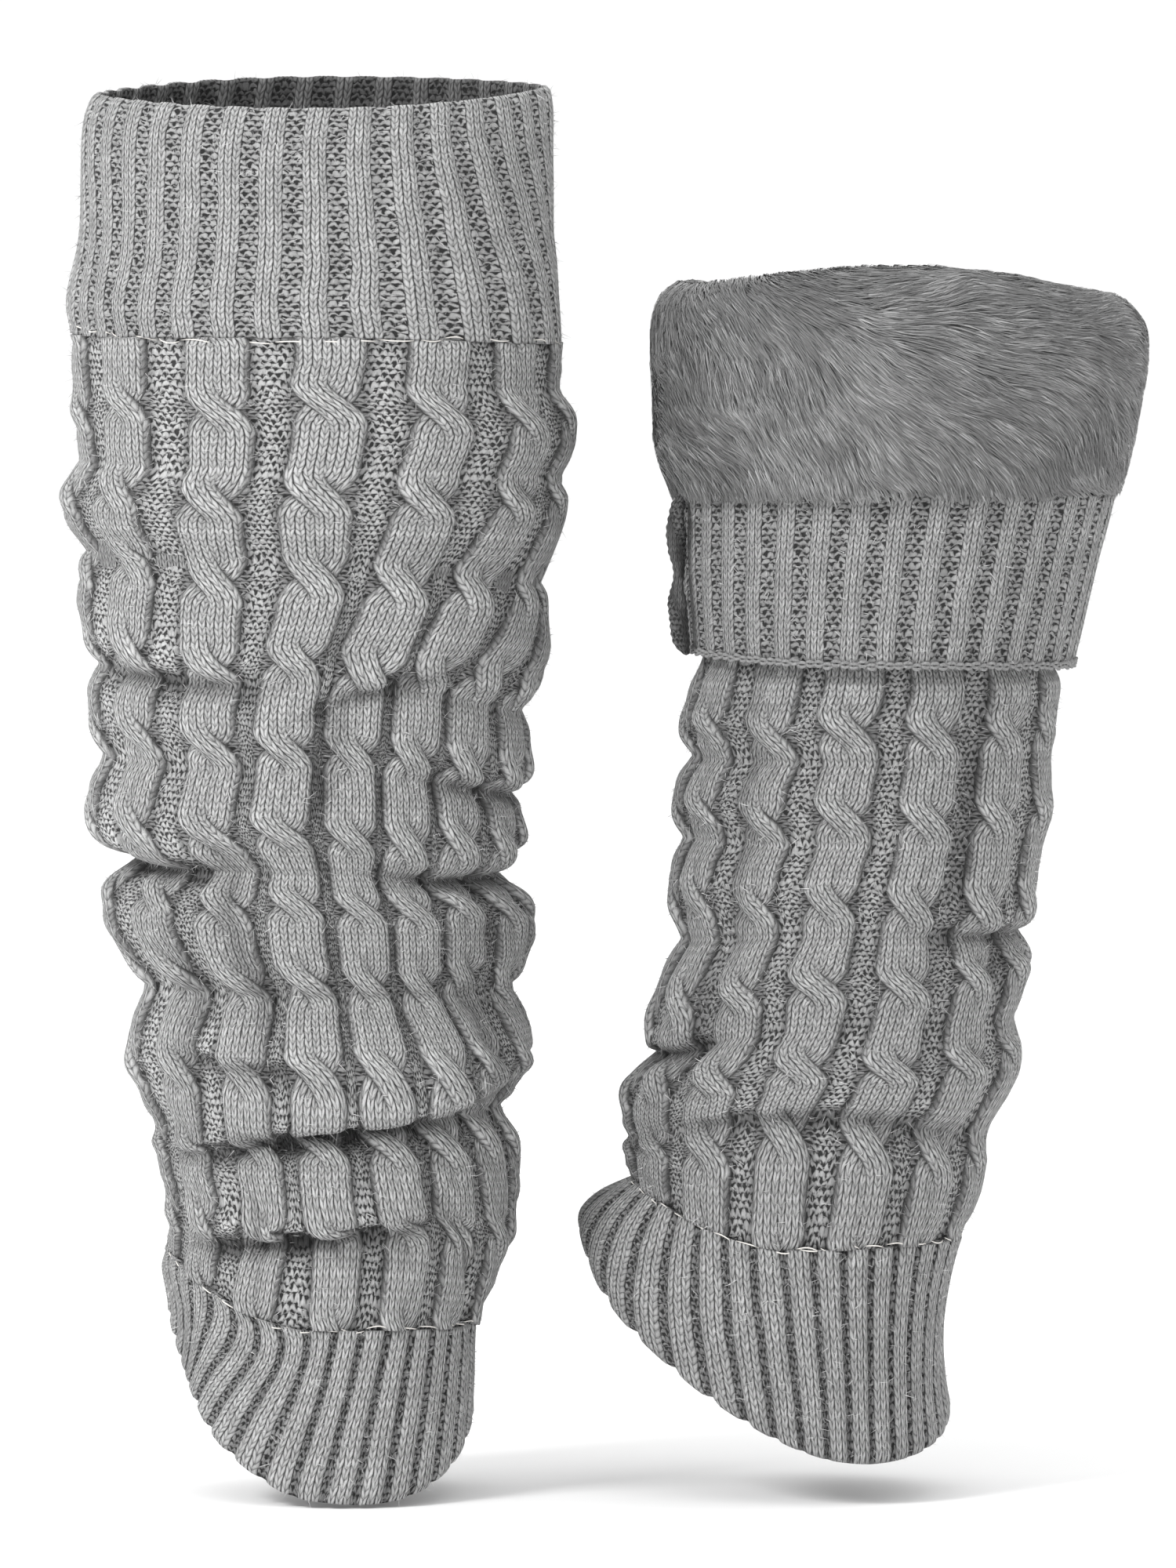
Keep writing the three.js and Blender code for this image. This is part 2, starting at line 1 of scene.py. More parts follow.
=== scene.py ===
"""A pair of cable-knit leg warmers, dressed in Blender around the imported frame.

The tall leg warmer is slouched at its full length. The short one has its top turned down, so that its fur
lining and the wrong side of its rib band face out. Sizes are in millimetres in the tables, because the solids
use them, and in metres in every mesh. Angles run round a leg from the front (-Y) through the right (+X).
"""

import logging
import math
from dataclasses import dataclass, field
from enum import Enum
from typing import Union

import bpy
import numpy as np
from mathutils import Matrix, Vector

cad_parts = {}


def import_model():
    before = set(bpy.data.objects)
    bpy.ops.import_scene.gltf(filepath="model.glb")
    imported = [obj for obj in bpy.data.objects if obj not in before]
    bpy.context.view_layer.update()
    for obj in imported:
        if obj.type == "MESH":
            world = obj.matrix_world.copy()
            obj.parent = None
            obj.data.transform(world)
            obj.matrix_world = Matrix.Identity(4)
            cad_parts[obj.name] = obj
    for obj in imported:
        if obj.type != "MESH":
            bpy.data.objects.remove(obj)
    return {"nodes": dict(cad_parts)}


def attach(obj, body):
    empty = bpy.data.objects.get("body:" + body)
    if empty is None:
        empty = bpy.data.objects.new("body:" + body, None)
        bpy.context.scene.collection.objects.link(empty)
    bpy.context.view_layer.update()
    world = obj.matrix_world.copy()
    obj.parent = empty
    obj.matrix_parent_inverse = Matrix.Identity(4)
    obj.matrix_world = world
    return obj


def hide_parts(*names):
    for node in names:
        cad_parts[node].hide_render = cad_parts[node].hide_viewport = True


logging.basicConfig(level=logging.INFO, format="%(name)s: %(message)s")
LOG = logging.getLogger("leg_warmers")

Array = np.ndarray
Piece = bpy.types.Object
Material = bpy.types.Material
Value = Union[bpy.types.NodeSocket, float, tuple]

MM = 0.001
TURN = 2 * math.pi
SEED = 2569

# Knit sizes, as in the solids: counts round a leg, length of a twist, heights, wall, crease sharpness, course
CABLE_COUNT = 13
RIB_COUNT = 34
TWIST_PITCH = 23.5
CABLE_HEIGHT = 2.8
STRAND_RISE = 1.3
RIB_HEIGHT = 1.6
WALL = 1.8
CREASE = 1.6
COURSE = 1.9

# A cable's strands: over how much of a pitch they cross, and how near the twist they rise and widen
STRAND_RUN = 0.54
NEAR = 0.19
WIDER = 0.13

# Half the width of a cable's knit panel, which sets how far the stitches slant
PANEL_HALF = 8.6

# The fields of a section, a closed loop of the outline, and the way out at each of its sides
SECTION = ("leftX", "leftZ", "frontY", "frontZ", "rightX", "rightZ", "backY", "backZ")
OUTWARD = {"leftX": -1, "frontY": -1, "rightX": 1, "backY": 1}

TALL_RIB = (
    (-61.5, -0.2, -58, -2.3, 60.2, 1.3, 60, 2.3),
    (-64.1, -7, -59.5, -9, 60.9, -6, 61.5, -6),
    (-65.5, -38, -60, -38, 60.9, -38, 62, -37),
    (-68.9, -57, -60.5, -56, 62.6, -58, 63, -57),
)
TALL_BODY = (
    (-67.8, -64.5, -60, -63, 63, -67, 62.5, -65),
    (-67.2, -77, -59.5, -75, 62.6, -79, 62, -77),
    (-66.8, -88, -60, -87, 66.6, -92, 62, -89),
    (-65.5, -98, -59, -97.5, 63.2, -102, 60.5, -99),
    (-70.4, -109.5, -60, -109, 64.3, -112, 63, -111),
    (-63.2, -122, -57.5, -123, 57, -131, 57, -126),
    (-66.2, -134, -59.5, -138, 60.1, -147, 60.5, -140),
    (-60.1, -151.5, -56.5, -154, 52.7, -165, 54.5, -157),
    (-63.4, -161, -58.5, -164.5, 54.6, -173, 58, -166),
    (-59, -176, -56, -178, 50, -185, 52, -180),
    (-63.6, -189, -58, -191, 52.9, -195.5, 56, -192),
    (-49.5, -202, -53.5, -205, 44.5, -206.5, 46, -205),
    (-59.6, -217, -57, -219, 56.1, -222, 54, -220),
    (-47.5, -237, -51, -238, 49.6, -238, 45, -238),
    (-52.7, -256, -57.5, -254, 55.4, -254, 51, -255),
    (-49.5, -267, -55.5, -266, 52, -263, 49, -266),
    (-45.5, -275, -47.5, -271.5, 46.8, -270, 43.5, -273),
    (-45.1, -284, -53, -285, 51.7, -288, 47, -288),
    (-42.6, -293, -51.5, -295, 50.6, -299, 45.5, -297),
    (-41.6, -300, -45.5, -300.5, 49, -308, 43, -304),
    (-42.4, -308.5, -48, -326.5, 40.3, -328.5, 42, -322),
)
SHORT_BODY = (
    (95.3, -58, -54, -50, 211.5, -57, 54, -63),
    (97.2, -84, -53, -80, 209.4, -84, 54, -86),
    (98.9, -109.5, -52, -107, 206.9, -109.5, 53.5, -111),
    (99.5, -134.5, -50, -132, 200.1, -134.5, 52, -136),
    (98.6, -150, -47.5, -149.5, 195.3, -150.5, 50, -151.5),
    (97.2, -159, -48, -157.5, 196.4, -159, 51, -160),
    (94.9, -167.5, -48.5, -166, 194.7, -167.5, 51, -168),
    (97.9, -177, -47.5, -176, 193.8, -178, 49, -178),
    (92.8, -188.5, -48.5, -187, 194, -189, 50.5, -189),
    (95.6, -198.5, -47, -198, 191.7, -200.5, 47.5, -200),
    (91.8, -210.5, -48, -209, 190, -211, 49, -211),
    (94.9, -226, -46.5, -222, 184.4, -222, 45, -224),
    (87.2, -245, -48, -235, 188, -232, 46.5, -238),
    (88.4, -255, -46.2, -247, 184, -246, 43.5, -250),
    (78.8, -270, -49, -260.5, 185.6, -259, 45, -264),
    (80.9, -279, -45.5, -269, 177, -278, 41.5, -277),
    (80, -284, -48, -285, 175.6, -292, 43, -290),
    (81.5, -289.5, -45, -305.5, 169.9, -305.5, 41, -302),
)

# The section of the short leg at which the turned cuff ends and its cables show
CUFF_EDGE_ROW = 4

TURNED_RIB = (
    (94.7, -107.1, -57.5, -104.3, 210.7, -107, 58, -109.3),
    (95.1, -129.5, -56, -127, 205, -129.5, 56.5, -131),
    (96.6, -148.7, -52.5, -150.3, 199.6, -152.5, 54, -152),
)
FUR_OUTSIDE = (
    (91.8, -106.1, -61.5, -103.3, 211.6, -106, 62, -108.3),
    (88.2, -96, -64.5, -92, 215, -96, 64.5, -98),
    (87, -78, -66, -75, 218.2, -78, 66, -80),
    (86.3, -63.5, -65.5, -59, 219.3, -64.5, 65.5, -66.5),
    (88.6, -54, -61.5, -46.2, 214.6, -55.6, 61, -58.5),
    (95, -49.3, -55.5, -43, 209, -52.2, 55, -55.8),
    (101.5, -52.5, -48.5, -44.5, 203, -53.5, 48.5, -57),
    (105.3, -61, -44.8, -53, 199.8, -62, 44.8, -65),
    (106, -85, -43.8, -80, 198.8, -86, 44.5, -88),
)
FUR_BACKING = (
    (103, -85, -47.2, -80, 203.4, -86, 48, -88),
    (101.3, -56.7, -48, -48.7, 205.5, -55.7, 48, -61.7),
    (96.7, -56.7, -52.7, -48.7, 210.1, -55.7, 52.7, -61.7),
    (97.6, -80, -53, -76, 209.7, -80, 54, -83),
    (97.5, -106.1, -54, -103.3, 209, -106, 55, -108.3),
)

# Hem loops: the angle at which the ribs leave the seam, and x, y, z
TALL_HEM = (
    (-90, -38.9, 18, -323),
    (-60, -42.2, 0, -323.5),
    (-35, -40.1, -14, -335),
    (-20, -32.1, -30, -354),
    (0, -13.7, -46, -368.5),
    (20, 2.7, -52, -372),
    (45, 22, -47, -371),
    (70, 35, -29, -364),
    (90, 39.3, -8, -355),
    (120, 36.7, 20, -352),
    (160, 17.9, 38, -350),
    (200, -3, 42, -345),
    (240, -26, 33, -334),
)
SHORT_HEM = (
    (-120, 74.8, 27.5, -304.5),
    (-100, 68.9, 13, -304),
    (-85, 69.3, -1, -310),
    (-72, 73.5, -12, -320),
    (-60, 80.9, -22, -329.5),
    (-45, 95, -34, -341.5),
    (-25, 112.4, -44, -352.5),
    (0, 130.2, -48, -360),
    (25, 144.9, -46, -362),
    (50, 157.5, -36, -360.5),
    (75, 165.5, -18, -356.5),
    (95, 167.4, 0, -352),
    (130, 160.7, 28, -349),
    (165, 141.8, 42, -347),
    (200, 114.5, 45.5, -332),
    (225, 90.5, 38.5, -314),
)

# How far the tall leg's cables lean to the left, by cloth length, and the angle at which they don't
TALL_CREEP = (
    ((0, 0), (84, 0), (106, 4), (130, 16), (153, 38), (180, 45))
    + ((254, 43), (282, 31), (304, 27), (341.4, 0))
)
NO_CREEP = ((0, 0), (1, 0))
CREEP_ROOT = -45

# Creases: angle, cloth length, half width in degrees, half length, depth, degrees of lean for each millimetre
TALL_CREASES = (
    (8, 176, 7, 24, 2.4, -0.12),
    (-23, 238, 7, 32, 2.8, 0.14),
    (-46, 256, 7, 20, 2.4, 0.05),
    (54, 261, 8, 20, 2.8, 0.3),
    (57, 233, 16, 7, 2, 0),
    (52, 324, 4.5, 15, 3, 1.2),
    (-27, 322, 3.8, 11, 3.4, 0.1),
    (150, 230, 9, 30, 3, -0.1),
    (-140, 290, 9, 26, 2.2, 0.12),
    (-100, 190, 8, 24, 2.4, 0.05),
)
SHORT_CREASES = (
    (-42, 136, 7, 42, 2.4, 0),
    (-53, 195, 8, 20, 2.6, -0.2),
    (34, 140, 6, 40, 1.8, -0.03),
    (60, 181, 12, 9, 2.4, 0),
    (140, 190, 9, 34, 2.8, 0.06),
    (-130, 215, 9, 26, 3, -0.08),
)

# Hanging folds: angle, half width in degrees, section of the groove, reach, how far out, how far down, tilt
TALL_DRAPES = (
    (4, 60, 20, 7, 3.0, 4.8, -0.14),
    (-14, 42, 23, 6, 2.4, 4.0, -0.12),
    (175, 60, 20, 7, 2.6, 4, 0.03),
    (-62, 30, 15, 7, 2, 3.5, 0),
    (58, 34, 15, 7, 2.2, 3.5, 0),
    (-45, 32, 11, 6, 1.6, 2.5, 0.03),
    (70, 34, 13, 6, 1.8, 3, 0.04),
    (190, 60, 15, 7, 2, 3, -0.03),
    (18, 18, 11, 5, 1.8, 2.6, -0.4),
    (-30, 24, 18, 5, 1.4, 2.2, 0.12),
)
SHORT_DRAPES = (
    (8, 52, 15, 4.5, 1.5, 1.2, 0),
    (-72, 28, 13, 6, 2.4, 3, 0),
    (62, 34, 11, 6, 1.6, 2.5, 0.03),
    (180, 55, 13, 6, 2, 3, 0.02),
)


class Slot(Enum):
    """The material slots."""

    KNIT = "knit"
    FUR = "fur"
    ROLL = "roll"


class Stitch(Enum):
    """Which side of the knitting a face shows: knit, purl, or what its place on a cable says."""

    KNIT = 0.0
    PURL = 1.0
    CABLE = -1.0


def smooth(t: Array) -> Array:
    """Smoothstep of an array, clamped to 0..1."""
    s = np.clip(t, 0, 1)
    return s * s * (3 - 2 * s)


def bell(t: Array) -> Array:
    """A bell curve that is 1 at 0."""
    return np.exp(-np.square(t))


def rounded(distance: Array) -> Array:
    """The height of a rounded strand at a share of its half width."""
    return np.sqrt(np.clip(1 - np.abs(distance) ** 4, 0, None))


def lattice_noise(x: Array, y: Array, seed: int) -> Array:
    """Smooth noise in -1..1 at positions x, y, from hashed lattice values.

    Args:
        x: array of positions.
        y: array of positions, of a shape that fits x.
        seed: a whole number, for a pattern of its own.

    Returns:
        An array of the shape of x + y.
    """
    x, y = np.broadcast_arrays(np.asarray(x, float), np.asarray(y, float))
    ix, iy = np.floor(x), np.floor(y)
    fx, fy = smooth(x - ix), smooth(y - iy)

    def corner(dx: int, dy: int) -> Array:
        """The hashed value at a corner of each position's cell."""
        value = np.sin((ix + dx) * 127.1 + (iy + dy) * 311.7 + seed * 74.7) * 43758.5453
        return (value - np.floor(value)) * 2 - 1

    low = corner(0, 0) * (1 - fx) + corner(1, 0) * fx
    high = corner(0, 1) * (1 - fx) + corner(1, 1) * fx
    return low * (1 - fy) + high * fy


def degrees_past(angle: Array, middle: Array = 0.0) -> Array:
    """How many degrees angles in radians lie past a middle in degrees, from -180 to 180."""
    return np.mod(np.degrees(angle) - middle + 180, 360) - 180


class Curve:
    """A smooth curve through values, whose folds have round crests and creased troughs."""

    def __init__(self, positions: Array, values: Array, swells: int = 0) -> None:
        """Finds the slopes into and out of each position.

        Args:
            positions: rising positions.
            values: the value at each.
            swells: 1 or -1 for the way in which a fold swells, 0 for a curve with no folds.
        """
        self.positions = np.asarray(positions, float)
        self.values = np.asarray(values, float)
        rise = np.diff(self.values) / np.diff(self.positions)
        before = np.concatenate([rise[:1], rise])
        after = np.concatenate([rise, rise[-1:]])
        mean = (before + after) / 2
        fold = (before * after <= 0) & (swells != 0)
        crest = before * swells > 0
        self.slope_in = np.where(fold, np.where(crest, 0, before * CREASE), mean)
        self.slope_out = np.where(fold, np.where(crest, 0, after * CREASE), mean)

    def __call__(self, at: Array) -> Array:
        """Reads the curve.

        Args:
            at: array of positions.

        Returns:
            The value at each.
        """
        at = np.asarray(at, float)
        i = np.clip(np.searchsorted(self.positions, at) - 1, 0, len(self.positions) - 2)
        step = self.positions[i + 1] - self.positions[i]
        t = (at - self.positions[i]) / step
        s = t * t * (3 - 2 * t)
        bend = self.slope_out[i] * t * (1 - t) ** 2 - self.slope_in[i + 1] * t * t * (1 - t)
        return self.values[i] * (1 - s) + self.values[i + 1] * s + step * bend


def section_point(section: dict, angle: Array) -> Array:
    """Finds points of a closed loop, whose height runs smoothly between its four sides.

    Args:
        section: the fields of SECTION, as numbers or as arrays of the shape of angle.
        angle: array of angles round the leg.

    Returns:
        An array (..., 3) of points in millimetres.
    """
    side, ahead = np.sin(angle), np.cos(angle)
    side_z = np.where(side > 0, section["rightZ"], section["leftZ"])
    ahead_z = np.where(ahead > 0, section["frontZ"], section["backZ"])
    x = (section["leftX"] + section["rightX"]) / 2 + side * (section["rightX"] - section["leftX"]) / 2
    y = (section["frontY"] + section["backY"]) / 2 + ahead * (section["frontY"] - section["backY"]) / 2
    return np.stack(np.broadcast_arrays(x, y, side**2 * side_z + ahead**2 * ahead_z), axis=-1)


class Tube:
    """The outline surface of a tube of cloth."""

    def __init__(self, rows: tuple) -> None:
        """Measures the cloth length at each section and fits a curve to each of their fields.

        Args:
            rows: the sections from top to bottom, each a row with the fields of SECTION.
        """
        sections = [dict(zip(SECTION, row)) for row in rows]
        around = np.arange(8) * TURN / 8
        loops = [section_point(s, around) for s in sections]
        steps = [np.linalg.norm(b - a, axis=-1).mean() for a, b in zip(loops, loops[1:])]
        self.lengths = np.concatenate([[0], np.cumsum(steps)])
        self.length = float(self.lengths[-1])
        self.last = sections[-1]
        self.curves = {f: Curve(self.lengths, [s[f] for s in sections], OUTWARD.get(f, 0)) for f in SECTION}

    def point(self, down: Array, angle: Array) -> Array:
        """Points at cloth lengths and angles, in millimetres."""
        return section_point({f: curve(down) for f, curve in self.curves.items()}, angle)

    def normal(self, down: Array, angle: Array) -> Array:
        """Finds unit normals away from the leg, from points a little to each side.

        Args:
            down: array of cloth lengths, in millimetres.
            angle: array of cloth angles.

        Returns:
            An array (..., 3).
        """
        reach, turn = 2.5, 0.05
        along = self.point(down + reach, angle) - self.point(down - reach, angle)
        around = self.point(down, angle + turn) - self.point(down, angle - turn)
        across = np.cross(along, around)
        return across / np.linalg.norm(across, axis=-1, keepdims=True)


@dataclass(frozen=True)
class LegShape:
    """What makes one leg: its hem and how its cloth swells, creases, creeps round and hangs.

    Attributes:
        hem: the hem's loop, as rows of angle, x, y and z.
        swell: how far the ankle band swells out between its seam and the hem, in millimetres.
        left_swell: how much more it swells at the left and less at the right.
        creases: rows as in TALL_CREASES.
        creep: rows of cloth length and degrees.
        rib_rows: how many sections belong to the top rib.
        drapes: rows as in TALL_DRAPES.
    """

    hem: tuple
    swell: float
    left_swell: float
    creases: tuple
    creep: tuple
    rib_rows: int
    drapes: tuple


class Leg(Tube):
    """A whole leg: a tube that goes on smoothly into its ankle band, with its creases."""

    def __init__(self, rows: tuple, shape: LegShape) -> None:
        """Fits the tube, the hem and the creep.

        Args:
            rows: the sections of the tube.
            shape: the rest of the leg's shape.
        """
        super().__init__(rows)
        self.shape = shape
        self.tube_length = self.length
        self.top_seam = float(self.lengths[shape.rib_rows])
        hem = shape.hem
        rows3 = [(a - 360, x, y, z) for a, x, y, z in hem[-3:]] + list(hem)
        rows3 += [(a + 360, x, y, z) for a, x, y, z in hem[:3]]
        angles = np.radians([r[0] for r in rows3])
        self.hem_curves = [Curve(angles, [r[k] for r in rows3]) for k in (1, 2, 3)]
        self.hem_start = math.radians(hem[0][0])
        at = np.radians([r[0] for r in hem])
        gaps = np.linalg.norm(section_point(self.last, at) - self.hem_point(at), axis=-1)
        self.band_length = float(gaps.mean())
        self.length = self.tube_length + self.band_length
        self.creep = Curve([r[0] for r in shape.creep], [r[1] for r in shape.creep])

    def hem_point(self, angle: Array) -> Array:
        """Points of the hem at the angles at which the ribs leave the seam."""
        turned = self.hem_start + np.mod(angle - self.hem_start, TURN)
        return np.stack([curve(turned) for curve in self.hem_curves], axis=-1)

    def crept(self, down: Array, angle: Array) -> Array:
        """Finds where a cloth angle lies round the leg.

        Args:
            down: array of cloth lengths.
            angle: array of cloth angles.

        Returns:
            An array of angles round the leg.
        """
        lean = (1 - np.cos(angle - math.radians(CREEP_ROOT))) / 2
        in_tube = down < self.tube_length
        return angle - np.where(in_tube, np.radians(self.creep(np.minimum(down, self.tube_length))), 0) * lean

    def squeeze(self, down: Array, angle: Array) -> Array:
        """How much of its width the cloth keeps round the leg where it creeps."""
        lean = np.sin(angle - math.radians(CREEP_ROOT)) / 2
        return 1 - np.radians(self.creep(np.minimum(down, self.tube_length))) * lean

    def point(self, down: Array, angle: Array) -> Array:
        """Finds points of the leg's surface, with its ankle band, creases and hanging folds.

        Args:
            down: array of cloth lengths.
            angle: array of cloth angles.

        Returns:
            An array (..., 3) of points in millimetres.
        """
        down, angle = np.broadcast_arrays(np.asarray(down, float), np.asarray(angle, float))
        turned = self.crept(down, angle)
        tube = super().point(np.minimum(down, self.tube_length), turned)
        share = (down - self.tube_length) / self.band_length
        out = (self.shape.swell - self.shape.left_swell * np.sin(turned)) * 4 * share * (1 - share)
        push = np.stack([np.sin(turned) * out, -np.cos(turned) * out, np.zeros_like(out)], axis=-1)
        seam = section_point(self.last, turned)
        band = seam + (self.hem_point(turned) - seam) * share[..., None] + push
        made = np.where((down < self.tube_length)[..., None], tube, band)
        depth, drop = np.zeros_like(turned), np.zeros_like(turned)
        for row in self.shape.creases:
            depth += self.crease(down, turned, row)
        for row in self.shape.drapes:
            lip, groove = self.drape(down, turned, row)
            out, fall = row[4:6]
            depth -= out * (lip - 0.85 * groove)
            drop += fall * lip
        inward = np.stack([-np.sin(turned) * depth, np.cos(turned) * depth, -drop], axis=-1)
        return made + inward

    def crease(self, down: Array, turned: Array, row: tuple) -> Array:
        """Finds how deep a crease is at a place.

        Args:
            down: array of cloth lengths.
            turned: array of angles round the leg.
            row: the crease's row, as in TALL_CREASES.

        Returns:
            An array of depths.
        """
        middle, at, spread, reach, deep, lean = row
        below = down - at
        return deep * bell(degrees_past(turned, middle + lean * below) / spread) * bell(below / reach)

    def drape(self, down: Array, turned: Array, row: tuple) -> tuple:
        """Finds how much a place belongs to the lip of a hanging fold and to the groove below it.

        Args:
            down: array of cloth lengths.
            turned: array of angles round the leg.
            row: the fold's row, as in TALL_DRAPES.

        Returns:
            Two arrays of shares, for the lip and for the groove.
        """
        middle, spread, section, reach, _, _, tilt = row
        aside = degrees_past(turned, middle)
        window = bell((aside / spread) ** 2)
        below = down - self.lengths[section] - tilt * aside
        lip = window * bell((below + reach * 0.9) / reach)
        return lip, window * bell((below - reach * 0.2) / (reach * 0.55))

    def lip(self, down: Array, angle: Array) -> Array:
        """Finds how much a place belongs to the lip of any hanging fold.

        Args:
            down: array of cloth lengths.
            angle: array of cloth angles.

        Returns:
            An array of shares.
        """
        turned = self.crept(down, angle)
        most = np.zeros(np.broadcast(down, angle).shape)
        for row in self.shape.drapes:
            most = np.maximum(most, self.drape(down, turned, row)[0])
        return most

    def light(self, down: Array, angle: Array) -> Array:
        """Finds how much light reaches a place past the folds above it.

        Args:
            down: array of cloth lengths.
            angle: array of cloth angles.

        Returns:
            An array of shares, 1 in the open.
        """
        turned = self.crept(down, angle)
        dark = np.zeros(np.broadcast(down, angle).shape)
        for row in self.shape.drapes:
            out, fall = row[4:6]
            dark = np.maximum(dark, self.drape(down, turned, row)[1] * min(0.72, 0.12 * (out + fall)))
        for middle, at, spread, reach, deep, lean in self.shape.creases:
            shadow = (middle, at, 0.5 * spread, reach, 0.16 * deep, lean)
            dark = np.maximum(dark, self.crease(down, turned, shadow))
        return 1 - dark


class Draft:
    """A mesh in the making, from grids that close round the leg, with its knit coordinates."""

    def __init__(self, name: str) -> None:
        """Starts an empty mesh.

        Args:
            name: the name of the mesh and its object.
        """
        self.name = name
        self.points: list = []
        self.shade: list = []
        self.faces: list = []
        self.knit: list = []
        self.purl: list = []
        self.bake: list = []
        self.cable: list = []
        self.count = 0

    def add_points(self, points: Array, shade: Array) -> Array:
        """Adds a grid of points.

        Args:
            points: array (rows, columns, 3) in millimetres.
            shade: painted light and shade, how light the yarn's colour is made there, as one number or as an
                array (rows, columns).

        Returns:
            An array (rows, columns) of their indices.
        """
        base = self.count
        self.points.append(points.reshape(-1, 3) * MM)
        self.shade.append(np.broadcast_to(shade, points.shape[:2]).reshape(-1))
        self.count += points.shape[0] * points.shape[1]
        return base + np.arange(points.shape[0] * points.shape[1]).reshape(points.shape[:2])

    def add_quads(
        self, corners: Array, knit: Array, purl: Array, bake: Array,
        flip: bool = False, cable: Array | None = None,
    ) -> None:
        """Adds faces with four corners each, of which two may be the same.

        Args:
            corners: array (n, 4) of point indices.
            knit: array (n, 4, 2) of stitch coordinates.
            purl: array (n, 4) of the values of Stitch.
            bake: array (n, 4, 2) in the unit square.
            flip: turns the faces over.
            cable: array (n, 4, 2) of places on the cables, or None.
        """
        order = [3, 2, 1, 0] if flip else [0, 1, 2, 3]
        self.cable.append(np.zeros_like(knit) if cable is None else cable[:, order])
        self.faces.append(corners[:, order])
        self.knit.append(knit[:, order])
        self.purl.append(purl[:, order])
        self.bake.append(bake[:, order])

    def add_sheet(
        self, index: Array, knit: Array, purl: Array, chart: tuple,
        flip: bool = False, cable: Array | None = None,
    ) -> None:
        """Adds the faces of a grid of points that closes round the leg.

        Args:
            index: array (rows, columns) of point indices.
            knit: as in add_quads, in rows and columns of faces.
            purl: as there, in the same way.
            chart: (low v, high v), the strip of the unit square that these faces take.
            flip: turns the faces over.
            cable: as there, in the same way.
        """
        rows, columns = index.shape
        nxt = np.roll(index, -1, axis=1)
        corners = np.stack([index[:-1], index[1:], nxt[1:], nxt[:-1]], axis=-1).reshape(-1, 4)
        u = np.linspace(0.004, 0.996, columns + 1)
        v = np.linspace(chart[1], chart[0], rows)
        left, right = np.meshgrid(u[:-1], v[:-1])[0], np.meshgrid(u[1:], v[:-1])[0]
        high, low = np.meshgrid(u[:-1], v[:-1])[1], np.meshgrid(u[:-1], v[1:])[1]
        places = ((left, high), (left, low), (right, low), (right, high))
        bake = np.stack([np.stack(place, axis=-1) for place in places], axis=-2).reshape(-1, 4, 2)
        twists = None if cable is None else cable.reshape(-1, 4, 2)
        self.add_quads(corners, knit.reshape(-1, 4, 2), purl.reshape(-1, 4), bake, flip, twists)

    def add_rim(self, outer: Array, inner: Array, chart: tuple, up: bool) -> None:
        """Joins the last loops of an outside and an inside, which may have fewer points by a whole ratio.

        Args:
            outer: array of the outside's point indices.
            inner: array of the inside's.
            chart: (low v, high v), the strip of the unit square that these faces take.
            up: whether the rim faces up.
        """
        ratio = len(outer) // len(inner)
        o, i = np.roll(outer, -1), np.roll(inner, -1)
        wide = np.linspace(0.004, 0.996, len(outer) + 1)
        faces, bakes = [], []
        for k in range(ratio):
            a, b = outer[k::ratio], o[k::ratio]
            if k < (ratio + 1) // 2:
                c, d = (i, inner) if ratio == 1 else (inner, inner)
            else:
                c, d = (i, i)
            lu, ru = wide[:-1][k::ratio], wide[1:][k::ratio]
            faces.append(np.stack([a, b, c, d], axis=-1))
            top, low = np.full_like(lu, chart[1]), np.full_like(lu, chart[0])
            places = ((lu, top), (ru, top), (ru, low), (lu, low))
            bakes.append(np.stack([np.stack(place, axis=-1) for place in places], axis=-2))
            if ratio > 1 and k == (ratio + 1) // 2 - 1:
                faces.append(np.stack([b, i, inner, inner], axis=-1))
                bakes.append(bakes[-1])
        corners, bake = np.concatenate(faces), np.concatenate(bakes)
        knit = np.zeros(corners.shape + (2,))
        knit[..., 0] = bake[..., 0] * 150
        self.add_quads(corners, knit, np.zeros(corners.shape), bake, not up)

    def build(self, material: Material) -> Piece:
        """Makes the object, smooth shaded, with its maps and attributes.

        Args:
            material: what it is knitted in.

        Returns:
            The object.
        """
        faces = np.concatenate(self.faces)
        knit, purl = np.concatenate(self.knit), np.concatenate(self.purl)
        bake = np.concatenate(self.bake)
        three = (faces[:, 2] == faces[:, 3]) | (faces[:, 0] == faces[:, 1])
        keep = np.ones(faces.shape, bool)
        keep[faces[:, 2] == faces[:, 3], 3] = False
        keep[faces[:, 0] == faces[:, 1], 1] = False
        sizes = np.where(three, 3, 4)
        starts = np.concatenate([[0], np.cumsum(sizes)[:-1]])
        mesh = bpy.data.meshes.new(self.name)
        points = np.concatenate(self.points)
        mesh.vertices.add(len(points))
        mesh.vertices.foreach_set("co", points.astype(np.float32).ravel())
        mesh.loops.add(int(sizes.sum()))
        mesh.loops.foreach_set("vertex_index", faces[keep].astype(np.int32))
        mesh.polygons.add(len(faces))
        mesh.polygons.foreach_set("loop_start", starts.astype(np.int32))
        mesh.polygons.foreach_set("use_smooth", np.ones(len(faces), bool))
        for name, values in (("OFBake", bake), ("Knit", knit), ("Cable", np.concatenate(self.cable))):
            mesh.uv_layers.new(name=name).data.foreach_set("uv", values[keep].astype(np.float32).ravel())
        shade = np.concatenate(self.shade)
        for name, domain, values in (("purl", "CORNER", purl[keep]), ("shade", "POINT", shade)):
            mesh.attributes.new(name, "FLOAT", domain).data.foreach_set("value", values.astype(np.float32))
        mesh.update(calc_edges=True)
